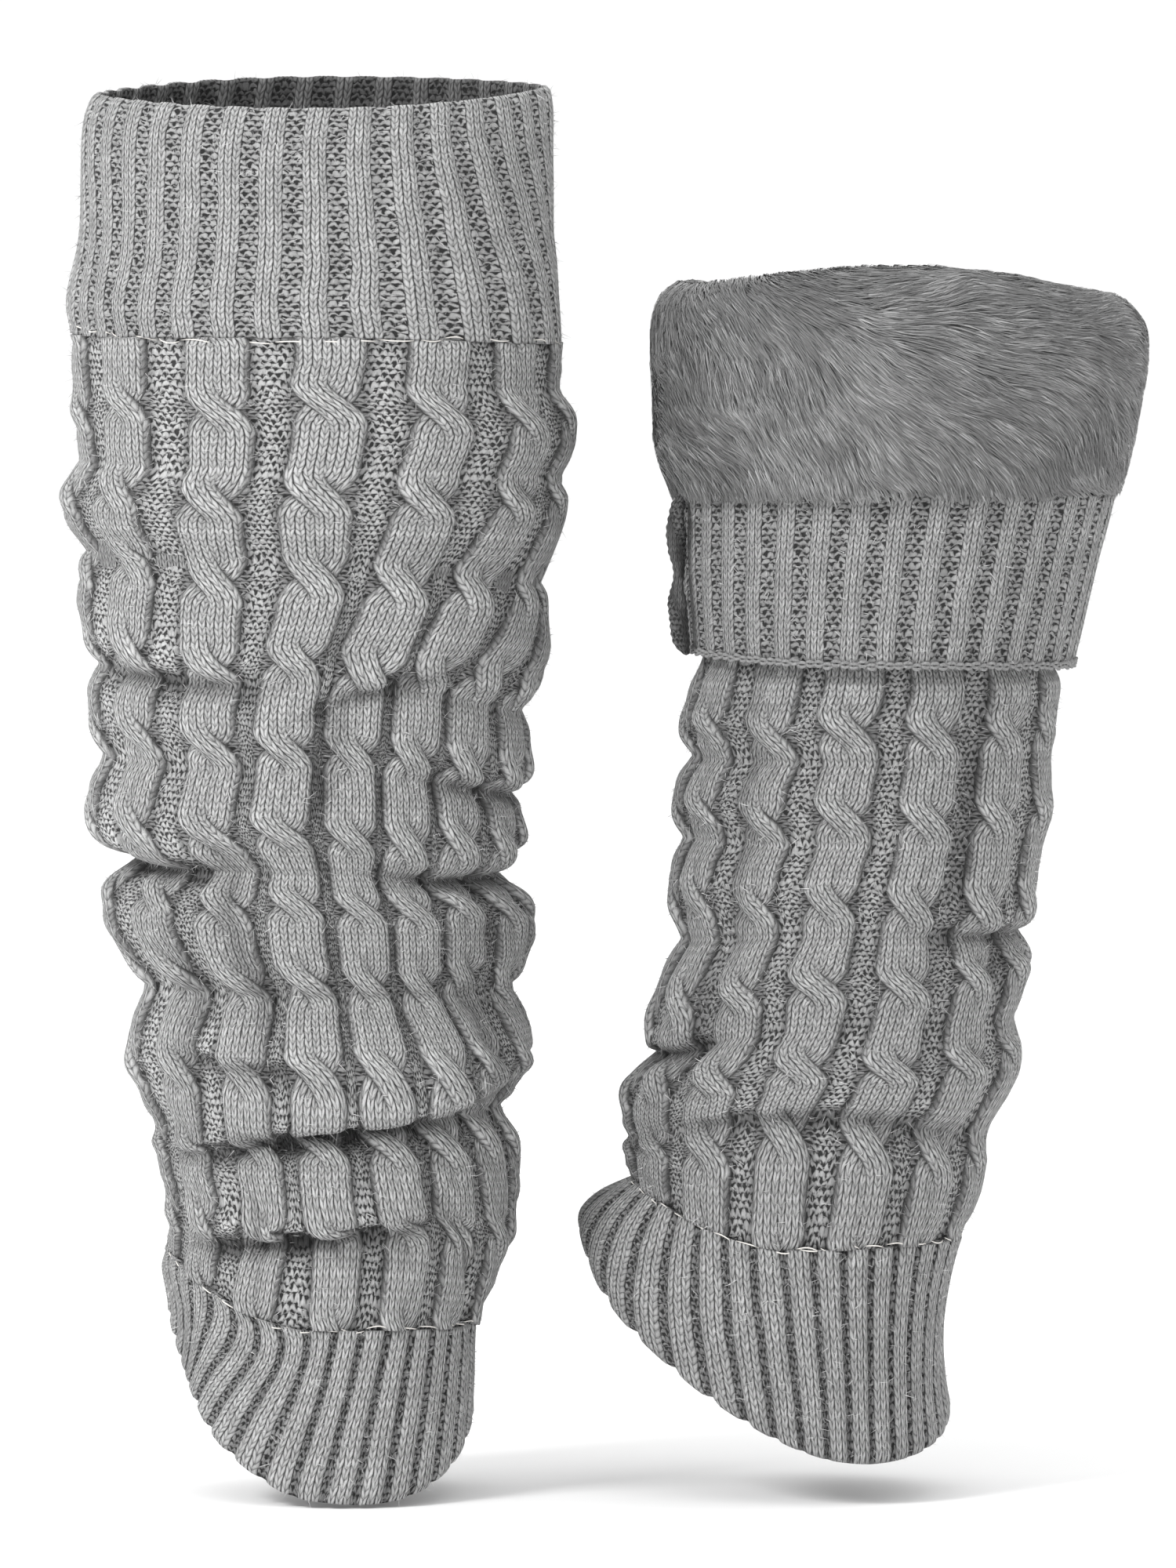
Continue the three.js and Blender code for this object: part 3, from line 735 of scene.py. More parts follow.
        mesh.validate()
        mesh.materials.append(material)
        made = bpy.data.objects.new(self.name, mesh)
        bpy.context.scene.collection.objects.link(made)
        return made


def corners_of(grid: Array, wrap_add: float = 0.0) -> Array:
    """The values of a grid at the four corners of each of its faces, round a leg.

    Args:
        grid: array (rows, columns).
        wrap_add: what is added to the first column where it closes the last face.

    Returns:
        An array (rows - 1, columns, 4).
    """
    nxt = np.roll(grid, -1, axis=1)
    nxt[:, -1] += wrap_add
    return np.stack([grid[:-1], grid[1:], nxt[1:], nxt[:-1]], axis=-1)


@dataclass
class KnitWall:
    """A wall of knitting on a surface: what its outside and its inside show comes from its kinds.

    Attributes:
        name: the piece's name.
        surface: the outline surface that it follows.
        start: the cloth length at which it starts, in millimetres.
        end: the cloth length at which it ends.
    """

    name: str
    surface: Tube
    start: float
    end: float

    def sink(self, rows: Array, angles: Array, depth: Array) -> Array:
        """Points below the outline surface by a depth."""
        return self.surface.point(rows, angles) - self.surface.normal(rows, angles) * depth[..., None]

    def edge_round(self, rows: Array, at: float, reach: float, depth: float) -> Array:
        """How deep a rounded edge lies, for rows near it."""
        return depth * bell((rows - at) / reach)


@dataclass(frozen=True)
class RibGrid:
    """The grid of one side of a rib band.

    Attributes:
        rows: array (rows, 1) of cloth lengths.
        columns: array (columns,) of places round the leg, in ribs.
        across: array (columns,) of places round the leg, in stitches.
        around: how many stitches there are all round.
        profile: array (1, columns), how high the yarn stands on the outside.
        purl: array (columns,), 1 where the purl side shows.
    """

    rows: Array
    columns: Array
    across: Array
    around: int
    profile: Array
    purl: Array

    def stitches(self) -> Array:
        """Finds the stitch coordinates of each face's corners.

        Returns:
            An array (rows - 1, columns, 4, 2).
        """
        shape = (len(self.rows), len(self.across))
        across = corners_of(np.broadcast_to(self.across[None, :], shape), self.around)
        return np.stack([across, corners_of(np.broadcast_to(self.rows / COURSE, shape))], axis=-1)

    def sides(self) -> Array:
        """The values of Stitch at each face's corners."""
        return np.broadcast_to(self.purl[None, :, None], (len(self.rows) - 1, len(self.purl), 4))


@dataclass
class RibBand(KnitWall):
    """A rib band, whose ribs stand out over purl gutters.

    Attributes:
        share: how much of a rib's pitch the rib takes, and the gutter takes the rest.
        knit_wales: knit stitches across a rib.
        purl_wales: purl stitches across a gutter.
        row_step: the distance from row to row of the outside's points, in millimetres.
        inner_step: the same for the inside.
        inner_depth: how deep the inside lies below the tops of the ribs.
        inner_ridge: how much deeper it lies behind a gutter.
        fine_inside: whether the inside shows and gets the outside's points.
        free_top: whether the top edge is a rounded free edge.
        free_end: whether the lower one is.
        skew: how far the ribs turn towards the end, as rows of middle, half width and turn in degrees.
        sway: how far they sway half way along, as rows of the same.
        dark: how light the painted shade leaves the gutters.
    """

    share: float = 0.56
    knit_wales: int = 3
    purl_wales: int = 2
    row_step: float = 1.02
    inner_step: float = 4.0
    inner_depth: float = 2.5
    inner_ridge: float = 0.9
    fine_inside: bool = False
    free_top: bool = False
    free_end: bool = False
    skew: tuple = ()
    sway: tuple = ()
    dark: float = 0.5

    def angles(self, rows: Array, columns: Array) -> Array:
        """Finds the cloth angles of columns at rows, leaning as the ribs do.

        Args:
            rows: array (rows, 1) of cloth lengths.
            columns: array (columns,) of places round the leg, in ribs.

        Returns:
            An array (rows, columns).
        """
        base = columns[None, :] * TURN / RIB_COUNT + np.zeros_like(rows)
        share = (rows - self.start) / (self.end - self.start)
        for middle, spread, turn in self.skew:
            aside = degrees_past(base, middle)
            base = base + math.radians(turn) * bell(aside / spread) * smooth(share)
        for middle, spread, turn in self.sway:
            aside = degrees_past(base, middle)
            base = base + math.radians(turn) * bell(aside / spread) * np.sin(math.pi * np.sqrt(share)) ** 2
        return base + 0.006 * lattice_noise(base * 5, rows / 9, SEED + 61)

    def profile(self, across: Array) -> Array:
        """Finds how high the yarn stands across a rib and its gutter.

        Args:
            across: -1 and 1 at the rib's edges, and more in the gutter.

        Returns:
            An array of shares of the rib's height.
        """
        inside = np.clip(np.abs(across), 0, 1)
        rib = np.where(np.abs(across) <= 1, np.sqrt(np.clip(1 - 0.72 * inside**6, 0, None)), 0.0)
        gutter = np.clip((np.abs(across) - 1) / (1 / (self.share / 2) / 2 - 1), 0, 1)
        return np.where(np.abs(across) > 1, 0.4 * bell(gutter / 0.45), rib)

    def build(self, material: Material) -> Piece:
        """Makes the band's mesh.

        Args:
            material: what it is knitted in.

        Returns:
            The object.
        """
        knit_steps, purl_steps = self.knit_wales * 2, self.purl_wales * 2
        half = self.share / 2
        shares = np.concatenate(
            [np.linspace(-half, half, knit_steps + 1)[:-1], np.linspace(half, 1 - half, purl_steps + 1)[:-1]]
        )
        wales = self.knit_wales + self.purl_wales
        u_of = np.concatenate([np.arange(knit_steps) / 2, self.knit_wales + np.arange(purl_steps) / 2])
        columns = (np.arange(RIB_COUNT)[:, None] + shares[None, :]).ravel()
        u = (np.arange(RIB_COUNT)[:, None] * wales + u_of[None, :]).ravel()
        steps = max(3, round((self.end - self.start) / self.row_step))
        rows = np.linspace(self.start, self.end, steps + 1)[:, None]
        profile = self.profile(np.tile(shares / half, RIB_COUNT)[None, :])
        purl = np.tile((np.arange(len(shares)) >= knit_steps).astype(float), RIB_COUNT)

        draft = Draft(self.name)
        outer = self.outside(draft, RibGrid(rows, columns, u, RIB_COUNT * wales, profile, purl))
        step = 1 if self.fine_inside else 2
        if not self.fine_inside:
            inner_steps = max(2, round((self.end - self.start) / self.inner_step))
            rows = np.linspace(self.start, self.end, inner_steps + 1)[:, None]
        columns, u, profile, purl = columns[::step], u[::step], profile[:, ::step], 1 - purl[::step]
        inner = self.inside(draft, RibGrid(rows, columns, u, RIB_COUNT * wales, profile, purl))
        draft.add_rim(outer[0], inner[0], (0.03, 0.05), up=True)
        draft.add_rim(outer[-1], inner[-1], (0.004, 0.024), up=False)
        return draft.build(material)

    def outside(self, draft: Draft, grid: RibGrid) -> Array:
        """Adds the ribs and gutters.

        Args:
            draft: the mesh in the making.
            grid: the outside's grid.

        Returns:
            An array (rows, columns) of point indices.
        """
        rows, profile = grid.rows, grid.profile
        uneven = 1 + 0.1 * lattice_noise(grid.columns[None, :] * 0.9, rows / 9, SEED)
        depth = RIB_HEIGHT * (1 - profile * uneven) + np.zeros_like(rows)
        if self.free_top:
            depth = depth + self.edge_round(rows, self.start, 0.9, 1.0)
        if self.free_end:
            depth = depth + self.edge_round(rows, self.end, 0.9, 1.0)
        # Painted shade: the gutters are darker than the tops of the ribs.
        shade = self.dark + (1 - self.dark) * np.clip(profile, 0, 1) ** 1.4 + np.zeros_like(rows)
        index = draft.add_points(self.sink(rows, self.angles(rows, grid.columns), depth), shade)
        draft.add_sheet(index, grid.stitches(), grid.sides(), (0.32, 0.996))
        return index

    def inside(self, draft: Draft, grid: RibGrid) -> Array:
        """Adds the inside, whose ribs lie behind the outside's gutters.

        Args:
            draft: the mesh in the making.
            grid: the inside's grid.

        Returns:
            An array (rows, columns) of point indices.
        """
        rows = grid.rows
        ridge = np.clip(1 - grid.profile, 0, 1)
        depth = self.inner_depth + self.inner_ridge * ridge + np.zeros_like(rows)
        if self.free_top:
            depth = depth - self.edge_round(rows, self.start, 0.9, 0.5)
        points = self.sink(rows, self.angles(rows, grid.columns), depth)
        # Painted shade on the inside, a little lighter on its own ribs.
        index = draft.add_points(points, 0.24 + 0.22 * ridge + np.zeros_like(rows))
        draft.add_sheet(index, grid.stitches(), grid.sides(), (0.06, 0.3), flip=True)
        return index


@dataclass
class CableBody(KnitWall):
    """A leg of cables: at each twist the left half of a cable crosses over to the right.

    Attributes:
        first_angle: the angle of the first cable's middle, in degrees.
        share: how much of a cable's pitch the cable takes, and the gutter takes the rest.
        first_twist: how far below the start the first twist lies, in millimetres.
        knit_wales: knit stitches across a cable.
        purl_wales: purl stitches across a gutter.
        plain_until: the cloth length down to which the knitting is hidden and stays low and coarse.
        wander: how far the cables stray to the side, as a share of their pitch.
        row_step: the distance from row to row of the outside's points.
        hidden_step: the same where the knitting is hidden.
        inner_step: the same for the inside.
        inner_fold: how much deeper the inside lies where a fold takes the light.
    """

    first_angle: float
    share: float
    first_twist: float
    knit_wales: int
    purl_wales: int
    plain_until: float = 0.0
    wander: float = 0.03
    row_step: float = 1.03
    hidden_step: float = 4.0
    inner_step: float = 6.5
    inner_fold: float = 2.2

    def turns_of(self, rows: Array, cable: Array) -> Array:
        """Finds how many twists lie above rows, for each cable.

        Args:
            rows: array (rows, 1) of cloth lengths.
            cable: array (1, columns) of cable numbers.

        Returns:
            An array (rows, columns).
        """
        own = np.mod(cable, CABLE_COUNT)
        uneven = 0.05 * np.sin(own * 2.3 + 1.1) + 0.06 * lattice_noise(own * 1.7, rows / 45, SEED + 3)
        return (rows - self.start - self.first_twist) / TWIST_PITCH + uneven

    def heights(self, across: Array, turns: Array) -> Array:
        """Finds the height of a cable.

        Args:
            across: from -1 at the cable's left edge to 1 at its right.
            turns: how many twists lie above.

        Returns:
            An array of heights in millimetres.
        """
        turn = turns - np.round(turns)
        near = bell(turn / NEAR)
        centre = smooth(turn / STRAND_RUN + 0.5) - 0.5
        half = 0.5 + WIDER * near
        over = (CABLE_HEIGHT + STRAND_RISE * near) * rounded((across - centre) / half)
        under = CABLE_HEIGHT * (1 - 0.5 * near) * rounded((across + centre) / half)
        edge = np.abs(centre) + half
        crown = 1 + 0.12 * np.cos(TURN * (turn - 0.5)) * (1 - across**2)
        pillow = CABLE_HEIGHT * crown * (1 - bell(turn / 0.24)) * rounded(across / edge)
        pulled = 0.9 * bell((np.abs(across) - edge) / 0.3) * near
        return np.maximum(np.maximum(over, under), np.maximum(pillow, pulled))

    def share_of(self, rows: Array, cable: Array) -> Array:
        """Finds how much of its pitch a cable takes, where the cloth is squeezed too.

        Args:
            rows: array (rows, 1) of cloth lengths.
            cable: array (1, columns) of cable numbers.

        Returns:
            An array (rows, columns) of shares.
        """
        angle = math.radians(self.first_angle) + cable * (TURN / CABLE_COUNT)
        uneven = 1 + 0.07 * lattice_noise(rows / 26, np.mod(cable, CABLE_COUNT) * 2.3, SEED + 17)
        return np.clip(self.share / self.surface.squeeze(rows, angle) * uneven, self.share * 0.8, 0.87)

    def wander_of(self, rows: Array, cable: Array) -> Array:
        """Finds how far a cable strays to the side.

        Args:
            rows: array (rows, 1) of cloth lengths.
            cable: array (1, columns) of cable numbers.

        Returns:
            An array (rows, columns) of shares of the pitch.
        """
        own = np.mod(cable, CABLE_COUNT)
        slow = lattice_noise(rows / 34, own * 3.1, SEED + 8)
        return self.wander * slow + 0.018 * lattice_noise(rows / 10, own * 5.3, SEED + 9)

    def rows(self) -> Array:
        """Finds the cloth lengths of the outside's points, few where the knitting is hidden.

        Returns:
            An array (rows, 1).
        """
        shown_from = max(self.start, self.plain_until)
        rows = np.linspace(shown_from, self.end, round((self.end - shown_from) / self.row_step) + 1)
        if shown_from > self.start:
            steps = round((shown_from - self.start) / self.hidden_step)
            rows = np.concatenate([np.linspace(self.start, shown_from, steps + 1)[:-1], rows])
        return rows[:, None]

    def build(self, material: Material) -> Piece:
        """Makes the body's mesh.

        Args:
            material: what it is knitted in.

        Returns:
            The object.
        """
        knit_steps, purl_steps = self.knit_wales * 2, self.purl_wales * 2
        per = knit_steps + purl_steps
        rows = self.rows()
        cable = np.repeat(np.arange(CABLE_COUNT), per)[None, :].astype(float)
        inside = np.tile(np.arange(per) < knit_steps, CABLE_COUNT)[None, :]
        across = np.linspace(-1, 1, knit_steps + 1)[:-1].tolist() + [1.0] * purl_steps
        gap = [0.0] * knit_steps + np.linspace(0, 1, purl_steps + 1)[:-1].tolist()
        across = np.tile(across, CABLE_COUNT)[None, :]
        gap = np.tile(gap, CABLE_COUNT)[None, :]

        share = self.share_of(rows, cable)
        left_at, right_at = self.wander_of(rows, cable), self.wander_of(rows, cable + 1)
        gap_from = share / 2 + left_at
        gap_to = 1 - self.share_of(rows, cable + 1) / 2 + right_at
        place = np.where(inside, across * share / 2 + left_at, gap_from + gap * (gap_to - gap_from))
        angles = math.radians(self.first_angle) + (cable + place) * (TURN / CABLE_COUNT)

        turns, next_turns = self.turns_of(rows, cable), self.turns_of(rows, cable + 1)
        lip = self.surface.lip(rows, angles)
        floor = 0.45 * (bell(gap / 0.14) + bell((1 - gap) / 0.14)) + 0.3 * bell((gap - 0.5) / 0.3) + 1.5 * lip
        height = np.where(inside, self.heights(across, turns), floor)
        height = height + 0.2 * lattice_noise(rows / 4.2, (cable + place) * 5.5, SEED + 1)
        free = smooth((rows - self.plain_until) / 8) if self.plain_until else np.ones_like(rows)
        height = height * free + np.minimum(height, 0.7) * (1 - free)
        dip = self.edge_round(rows, self.start, 1.5, 0.1) + self.edge_round(rows, self.end, 1.5, 0.1)
        depth = np.clip(CABLE_HEIGHT - height + dip, -STRAND_RISE - 0.3, CABLE_HEIGHT + 0.6)
        # Painted light and shade: narrow gutters are darker, the lips of hanging folds lighter, and the cloth
        # below folds and in creases darker, the gutters most.
        slit = np.clip((1 - share - 0.14) / 0.2, 0, 1)
        light = self.surface.light(rows, angles)
        shade = np.where(inside, 1.0, 0.72 + 0.28 * slit + 0.2 * lip) * np.where(inside, light, light**2)

        draft = Draft(self.name)
        outer = draft.add_points(self.sink(rows, angles, depth), shade)
        big = 4 * cable + np.where(inside, across, 1 + 2 * gap) + np.zeros_like(rows)
        wound = np.where(inside, turns, turns + (next_turns - turns) * gap)
        twists = np.stack([corners_of(big, 4 * CABLE_COUNT), corners_of(wound)], axis=-1)
        courses = corners_of(rows / COURSE + np.zeros_like(big))
        knit = np.stack([np.zeros_like(courses), courses], axis=-1)
        draft.add_sheet(outer, knit, np.full(courses.shape, Stitch.CABLE.value), (0.2, 0.996), cable=twists)
        inner = self.inner(draft, rows, angles, light, inside[0])
        draft.add_rim(outer[0], inner[0], (0.03, 0.05), up=True)
        draft.add_rim(outer[-1], inner[-1], (0.004, 0.024), up=False)
        return draft.build(material)

    def inner(self, draft: Draft, rows: Array, angles: Array, light: Array, knit_side: Array) -> Array:
        """Adds the plain inside, with more rows where folds take the light.

        Args:
            draft: the mesh in the making.
            rows: array (rows, 1) of the outside's cloth lengths.
            angles: array (rows, columns) of its cloth angles.
            light: array (rows, columns), how much light reaches it.
            knit_side: array (columns,), true on a cable.

        Returns:
            An array (rows, columns) of point indices.
        """
        steps = round((self.end - self.start) / self.inner_step)
        pace = np.cumsum(1 + 6 * (1 - light).max(axis=1))
        picked = np.unique(np.searchsorted(pace, np.linspace(pace[0], pace[-1], steps + 1)))
        rows, angles = rows[picked], angles[picked][:, ::2]
        depth = CABLE_HEIGHT + WALL + self.inner_fold * (1 - light[picked][:, ::2])
        # Painted shade: the inside is darker.
        index = draft.add_points(self.sink(rows, angles, depth), 0.7)
        columns = len(knit_side)
        across = np.broadcast_to((np.arange(columns)[::2] / 2.0)[None, :], angles.shape)
        down = np.broadcast_to(rows / COURSE, angles.shape)
        knit = np.stack([corners_of(across, columns / 2), corners_of(down)], axis=-1)
        purl = np.where(knit_side[::2], Stitch.PURL.value, Stitch.KNIT.value)
        purl = np.broadcast_to(purl[None, :, None], (len(picked) - 1, angles.shape[1], 4))
        draft.add_sheet(index, knit, purl, (0.06, 0.19), flip=True)
        return index


class Nodes:
    """Builds a material's node tree by expressions."""

    def __init__(self, name: str) -> None:
        """Starts a material with an empty tree.

        Args:
            name: the material's name.
        """
        self.material = bpy.data.materials.new(name)
        self.material.use_nodes = True
        self.tree = self.material.node_tree
        self.tree.nodes.clear()

    def new(self, kind: str, **settings: object) -> bpy.types.Node:
        """Adds a node.

        Args:
            kind: the node's type.
            settings: its properties by name.

        Returns:
            The node.
        """
        node = self.tree.nodes.new(kind)
        for key, value in settings.items():
            setattr(node, key, value)
        return node

    def feed(self, socket: bpy.types.NodeSocket, value: Value) -> None:
        """Links a socket or sets a constant.

        Args:
            socket: the input.
            value: an output to link to it, or what it is set to.
        """
        if isinstance(value, bpy.types.NodeSocket):
            self.tree.links.new(value, socket)
        else:
            socket.default_value = value

    def fed(self, kind: str, values: tuple, out: int = 0, **settings: object) -> Value:
        """Adds a node and feeds its inputs in order.

        Args:
            kind: the node's type.
            values: its inputs, None for one that keeps its own value.
            out: the number of the output that is used.
            settings: its properties by name.

        Returns:
            That output.
        """
        node = self.new(kind, **settings)
        for socket, value in zip(node.inputs, values):
            if value is not None:
                self.feed(socket, value)
        return node.outputs[out]

    def clamp(self, value: Value) -> Value:
        """A value kept to 0..1."""
        return self.math("MINIMUM", self.math("MAXIMUM", value, 0.0), 1.0)

    def bell(self, value: Value) -> Value:
        """A bell curve that is 1 at 0."""
        return self.math("EXPONENT", self.times(self.times(value, value), -1.0))

    def math(self, operation: str, *values: Value) -> Value:
        """The result of a math operation."""
        return self.fed("ShaderNodeMath", values, operation=operation)

    def plus(self, a: Value, b: Value) -> Value:
        """The sum of two values."""
        return self.math("ADD", a, b)

    def minus(self, a: Value, b: Value) -> Value:
        """The first value less the second."""
        return self.math("SUBTRACT", a, b)

    def times(self, a: Value, b: Value) -> Value:
        """The product of two values."""
        return self.math("MULTIPLY", a, b)

    def divide(self, a: Value, b: Value) -> Value:
        """The first value over the second."""
        return self.math("DIVIDE", a, b)

    def mix(self, share: Value, a: Value, b: Value) -> Value:
        """The number a where share is 0, b where it is 1, and a mix between."""
        return self.fed("ShaderNodeMix", (share, None, a, b), data_type="FLOAT")

    def mix_colour(self, share: Value, a: Value, b: Value, blend: str = "MIX") -> Value:
        """The same for colours, which are mixed in the way that blend names."""
        inputs = (share, None, None, None, None, None, a, b)
        return self.fed("ShaderNodeMix", inputs, 2, data_type="RGBA", blend_type=blend)

    def attribute(self, name: str) -> Value:
        """A mesh attribute's value."""
        return self.new("ShaderNodeAttribute", attribute_name=name).outputs["Fac"]

    def uv(self, name: str) -> tuple:
        """Reads a map.

        Args:
            name: the map's name.

        Returns:
            Its u and its v.
        """
        split = self.new("ShaderNodeSeparateXYZ")
        self.tree.links.new(self.new("ShaderNodeUVMap", uv_map=name).outputs[0], split.inputs[0])
        return split.outputs[0], split.outputs[1]

    def join(self, x: Value, y: Value, z: Value = 0.0) -> Value:
        """The vector of three numbers."""
        return self.fed("ShaderNodeCombineXYZ", (x, y, z))

    def noise(self, vector: Value, scale: float, detail: float = 2.0, rough: float = 0.5) -> Value:
        """Adds a noise texture.

        Args:
            vector: the place at which it is read.
            scale: how many of its lumps go into one unit.
            detail: how many finer layers it has.
            rough: how strong these are.

        Returns:
            Its value, near 0.5 on average.
        """
        node = self.new("ShaderNodeTexNoise")
        self.feed(node.inputs["Vector"], vector)
        self.feed(node.inputs["Scale"], scale)
        self.feed(node.inputs["Detail"], detail)
        self.feed(node.inputs["Roughness"], rough)
        return node.outputs[0]

    def ramp(self, value: Value, low: float, high: float, to_low: float = 0.0, to_high: float = 1.0) -> Value:
        """A value taken from the range low..high to the range to_low..to_high by a smooth step."""
        inputs = (value, low, high, to_low, to_high)
        return self.fed("ShaderNodeMapRange", inputs, interpolation_type="SMOOTHSTEP")

    def finish(
        self,
        colour: Value,
        roughness: float,
        height: Value | None = None,
        depth: float = 0.0005,
        strength: float = 1.0,
        sheen: float = 0.0,
    ) -> Material:
        """Joins everything into a surface of cloth.

        Args:
            colour: its colour.
            roughness: its roughness.
            height: its relief, from 0 to about 1, or None.
            depth: how deep the relief is, in metres.
            strength: how much of the relief the light meets.
            sheen: the weight of its sheen.

        Returns:
            The material.
        """
        shader = self.new("ShaderNodeBsdfPrincipled")
        self.feed(shader.inputs["Base Color"], colour)
        self.feed(shader.inputs["Roughness"], roughness)
        self.feed(shader.inputs["Specular IOR Level"], 0.25)
        self.feed(shader.inputs["Sheen Weight"], sheen)
        self.feed(shader.inputs["Sheen Roughness"], 0.5)
        if height is not None:
            bump = self.new("ShaderNodeBump")
            self.feed(bump.inputs["Strength"], strength)
            self.feed(bump.inputs["Distance"], depth)
            self.feed(bump.inputs["Height"], height)
            self.tree.links.new(bump.outputs[0], shader.inputs["Normal"])
        output = self.new("ShaderNodeOutputMaterial")
        self.tree.links.new(shader.outputs[0], output.inputs[0])
        return self.material


@dataclass(frozen=True)
class KnitFinish:
    """Knitting in a plain heathered yarn, as V stitches, purl bumps and, on a cable body, crossing strands.

    Attributes:
        name: the material's name.
        light: the yarn's colour on top of a stitch.
        dark: its colour between the stitches, where it stands for their shade: painted shade.
        depth: how deep the stitches are, in metres.
        purl_wales: how many purl stitches lie between two cables, 0 where there are none.
    """

    name: str
    light: tuple
    dark: tuple
    depth: float = 0.0010
    purl_wales: int = 0

    def make(self) -> Material:
        """Makes the material from the mesh's stitch coordinates.

        Returns:
            The material.
        """
        n = Nodes(self.name)
        u, v = n.uv("Knit")
        purl, shade, lift, wall = n.attribute("purl"), n.attribute("shade"), 0.0, 0.0
        if self.purl_wales:
            u, v, purl, shade, lift, wall = self._cable(n, u, v, purl, shade)
        place = n.join(u, v)
        drift = n.minus(n.noise(place, 0.8, 1.0), 0.5)
        sway = n.minus(n.noise(n.join(v, u, 3.7), 1.0, 1.0), 0.5)
        u = n.plus(u, n.times(drift, 0.34))
        v = n.plus(v, n.times(sway, 0.7))
        off = n.math("ABSOLUTE", n.minus(n.math("FRACT", u), 0.5))
        leg = n.minus(n.times(off, 4.0), 1.0)
        leg = n.math("MAXIMUM", n.times(leg, 1.12), n.times(leg, 0.85))
        across = n.math("MAXIMUM", n.minus(1.0, n.times(leg, leg)), 0.0)
        course = n.plus(v, n.times(off, 1.7))
        t = n.math("FRACT", course)
        along = n.plus(n.times(n.times(t, n.minus(1.0, t)), 3.1), 0.22)
        knit = n.math("POWER", n.times(across, along), 0.5)
        loose = n.minus(n.noise(n.join(u, v, 9.1), 1.7, 1.0), 0.5)
        height = n.mix(purl, knit, self._purl(n, u, n.plus(v, n.times(loose, 1.1))))
        fibre = n.noise(n.join(n.times(u, 5.0), n.times(course, 2.4)), 2.0, 3.0, 0.65)
        fine = n.noise(n.join(n.times(u, 9.0), n.times(v, 7.0), 2.0), 2.0, 2.0, 0.6)
        tufted = n.plus(n.times(fibre, 0.6), n.times(fine, 0.4))
        # On a cable's steep walls the stitches fade to a flat mid-dark tone in the bumps and in the colour:
        # the colour's part is painted shade.
        height = n.mix(wall, height, 0.42)
        height = n.plus(height, n.times(n.minus(tufted, 0.5), 1.15))
        one = n.new("ShaderNodeTexWhiteNoise", noise_dimensions="2D")
        n.feed(one.inputs["Vector"], n.join(n.math("FLOOR", u), n.math("FLOOR", course)))
        cloudy = n.noise(place, 0.3, 3.0, 0.6)
        # The colour runs from the dark in the low places to the light on top: painted shade between the
        # stitches and the purl bumps.
        tone = n.ramp(height, 0.12, 1.12)
        colour = n.mix_colour(tone, (*self.dark, 1), (*self.light, 1))
        # The yarn's own tone varies by stitch and in clouds; the shade that it multiplies is painted shade.
        shade = n.times(shade, n.plus(0.84, n.times(one.outputs[0], 0.26)))
        shade = n.times(shade, n.plus(0.8, n.times(cloudy, 0.4)))
        colour = n.mix_colour(1.0, colour, n.join(shade, shade, shade), "MULTIPLY")
        return n.finish(colour, 0.95, n.plus(height, lift), self.depth, 1.0, 0.12)

    def _purl(self, n: Nodes, u: Value, v: Value) -> Value:
        """Lays bumps like bricks, with low holes between them, which the colour darkens as painted shade.

        Args:
            n: the material's tree.
            u: stitches across.
            v: courses down.

        Returns:
            The height of the yarn.
        """
        v = n.times(v, 0.6)
        bumps = []
        for step in (0.0, 0.5):
            du = n.minus(n.math("FRACT", n.plus(u, step)), 0.5)
            dv = n.minus(n.math("FRACT", n.plus(v, step)), 0.5)
            arc = n.plus(dv, n.times(n.times(du, du), -0.75))
            du, arc = n.divide(du, 0.74), n.divide(arc, 0.225)
            round_off = n.plus(n.times(du, du), n.times(arc, arc))
            bumps.append(n.minus(1.0, round_off))
        best = n.math("MAXIMUM", n.math("MAXIMUM", bumps[0], bumps[1]), 0.0)
        return n.math("POWER", best, 0.6)

    def _cable(self, n: Nodes, u: Value, v: Value, purl: Value, shade: Value) -> tuple:
        """Lays the stitches along the strands of a cable and paints shade and shadow on what lies beside and
        below them.

        Args:
            n: the material's tree.
            u: stitches across, for a face that isn't on a cable.
            v: courses down.
            purl: the value of Stitch.
            shade: the painted shade, how light the yarn's colour is made.

        Returns:
            The new u, v, purl and painted shade, how far a strand is lifted, and how steep the wall beside it
            is.
        """
        big, turns = n.uv("Cable")
        here = n.math("LESS_THAN", purl, -0.5)
        x = n.math("FRACT", n.times(n.plus(big, 1.0), 0.25))
        x = n.minus(n.times(x, 4.0), 1.0)
        turn = n.minus(n.math("FRACT", n.plus(turns, 0.5)), 0.5)
        s = n.clamp(n.plus(n.divide(turn, STRAND_RUN), 0.5))
        bend = n.minus(3.0, n.times(s, 2.0))
        centre = n.minus(n.times(n.times(s, s), bend), 0.5)
        near = n.bell(n.divide(turn, NEAR))
        half = n.plus(0.5, n.times(near, WIDER))
        from_over = n.minus(x, centre)
        from_under = n.plus(x, centre)
        at_over = n.divide(from_over, half)
        at_under = n.divide(from_under, half)
        side = n.math("ABSOLUTE", at_over)
        edge = n.plus(n.math("ABSOLUTE", centre), half)
        out = n.divide(n.math("ABSOLUTE", x), edge)
        over = n.math("LESS_THAN", side, 1.0)
        within = n.math("LESS_THAN", out, 1.0)
        cloth = n.math("MAXIMUM", over, within)
        gap_u = n.times(n.minus(x, 1.0), self.purl_wales / 2)
        new_u = n.mix(within, gap_u, n.times(at_under, 2.0))
        new_u = n.mix(over, new_u, n.times(at_over, 2.0))
        slant = n.times(s, n.minus(1.0, s))
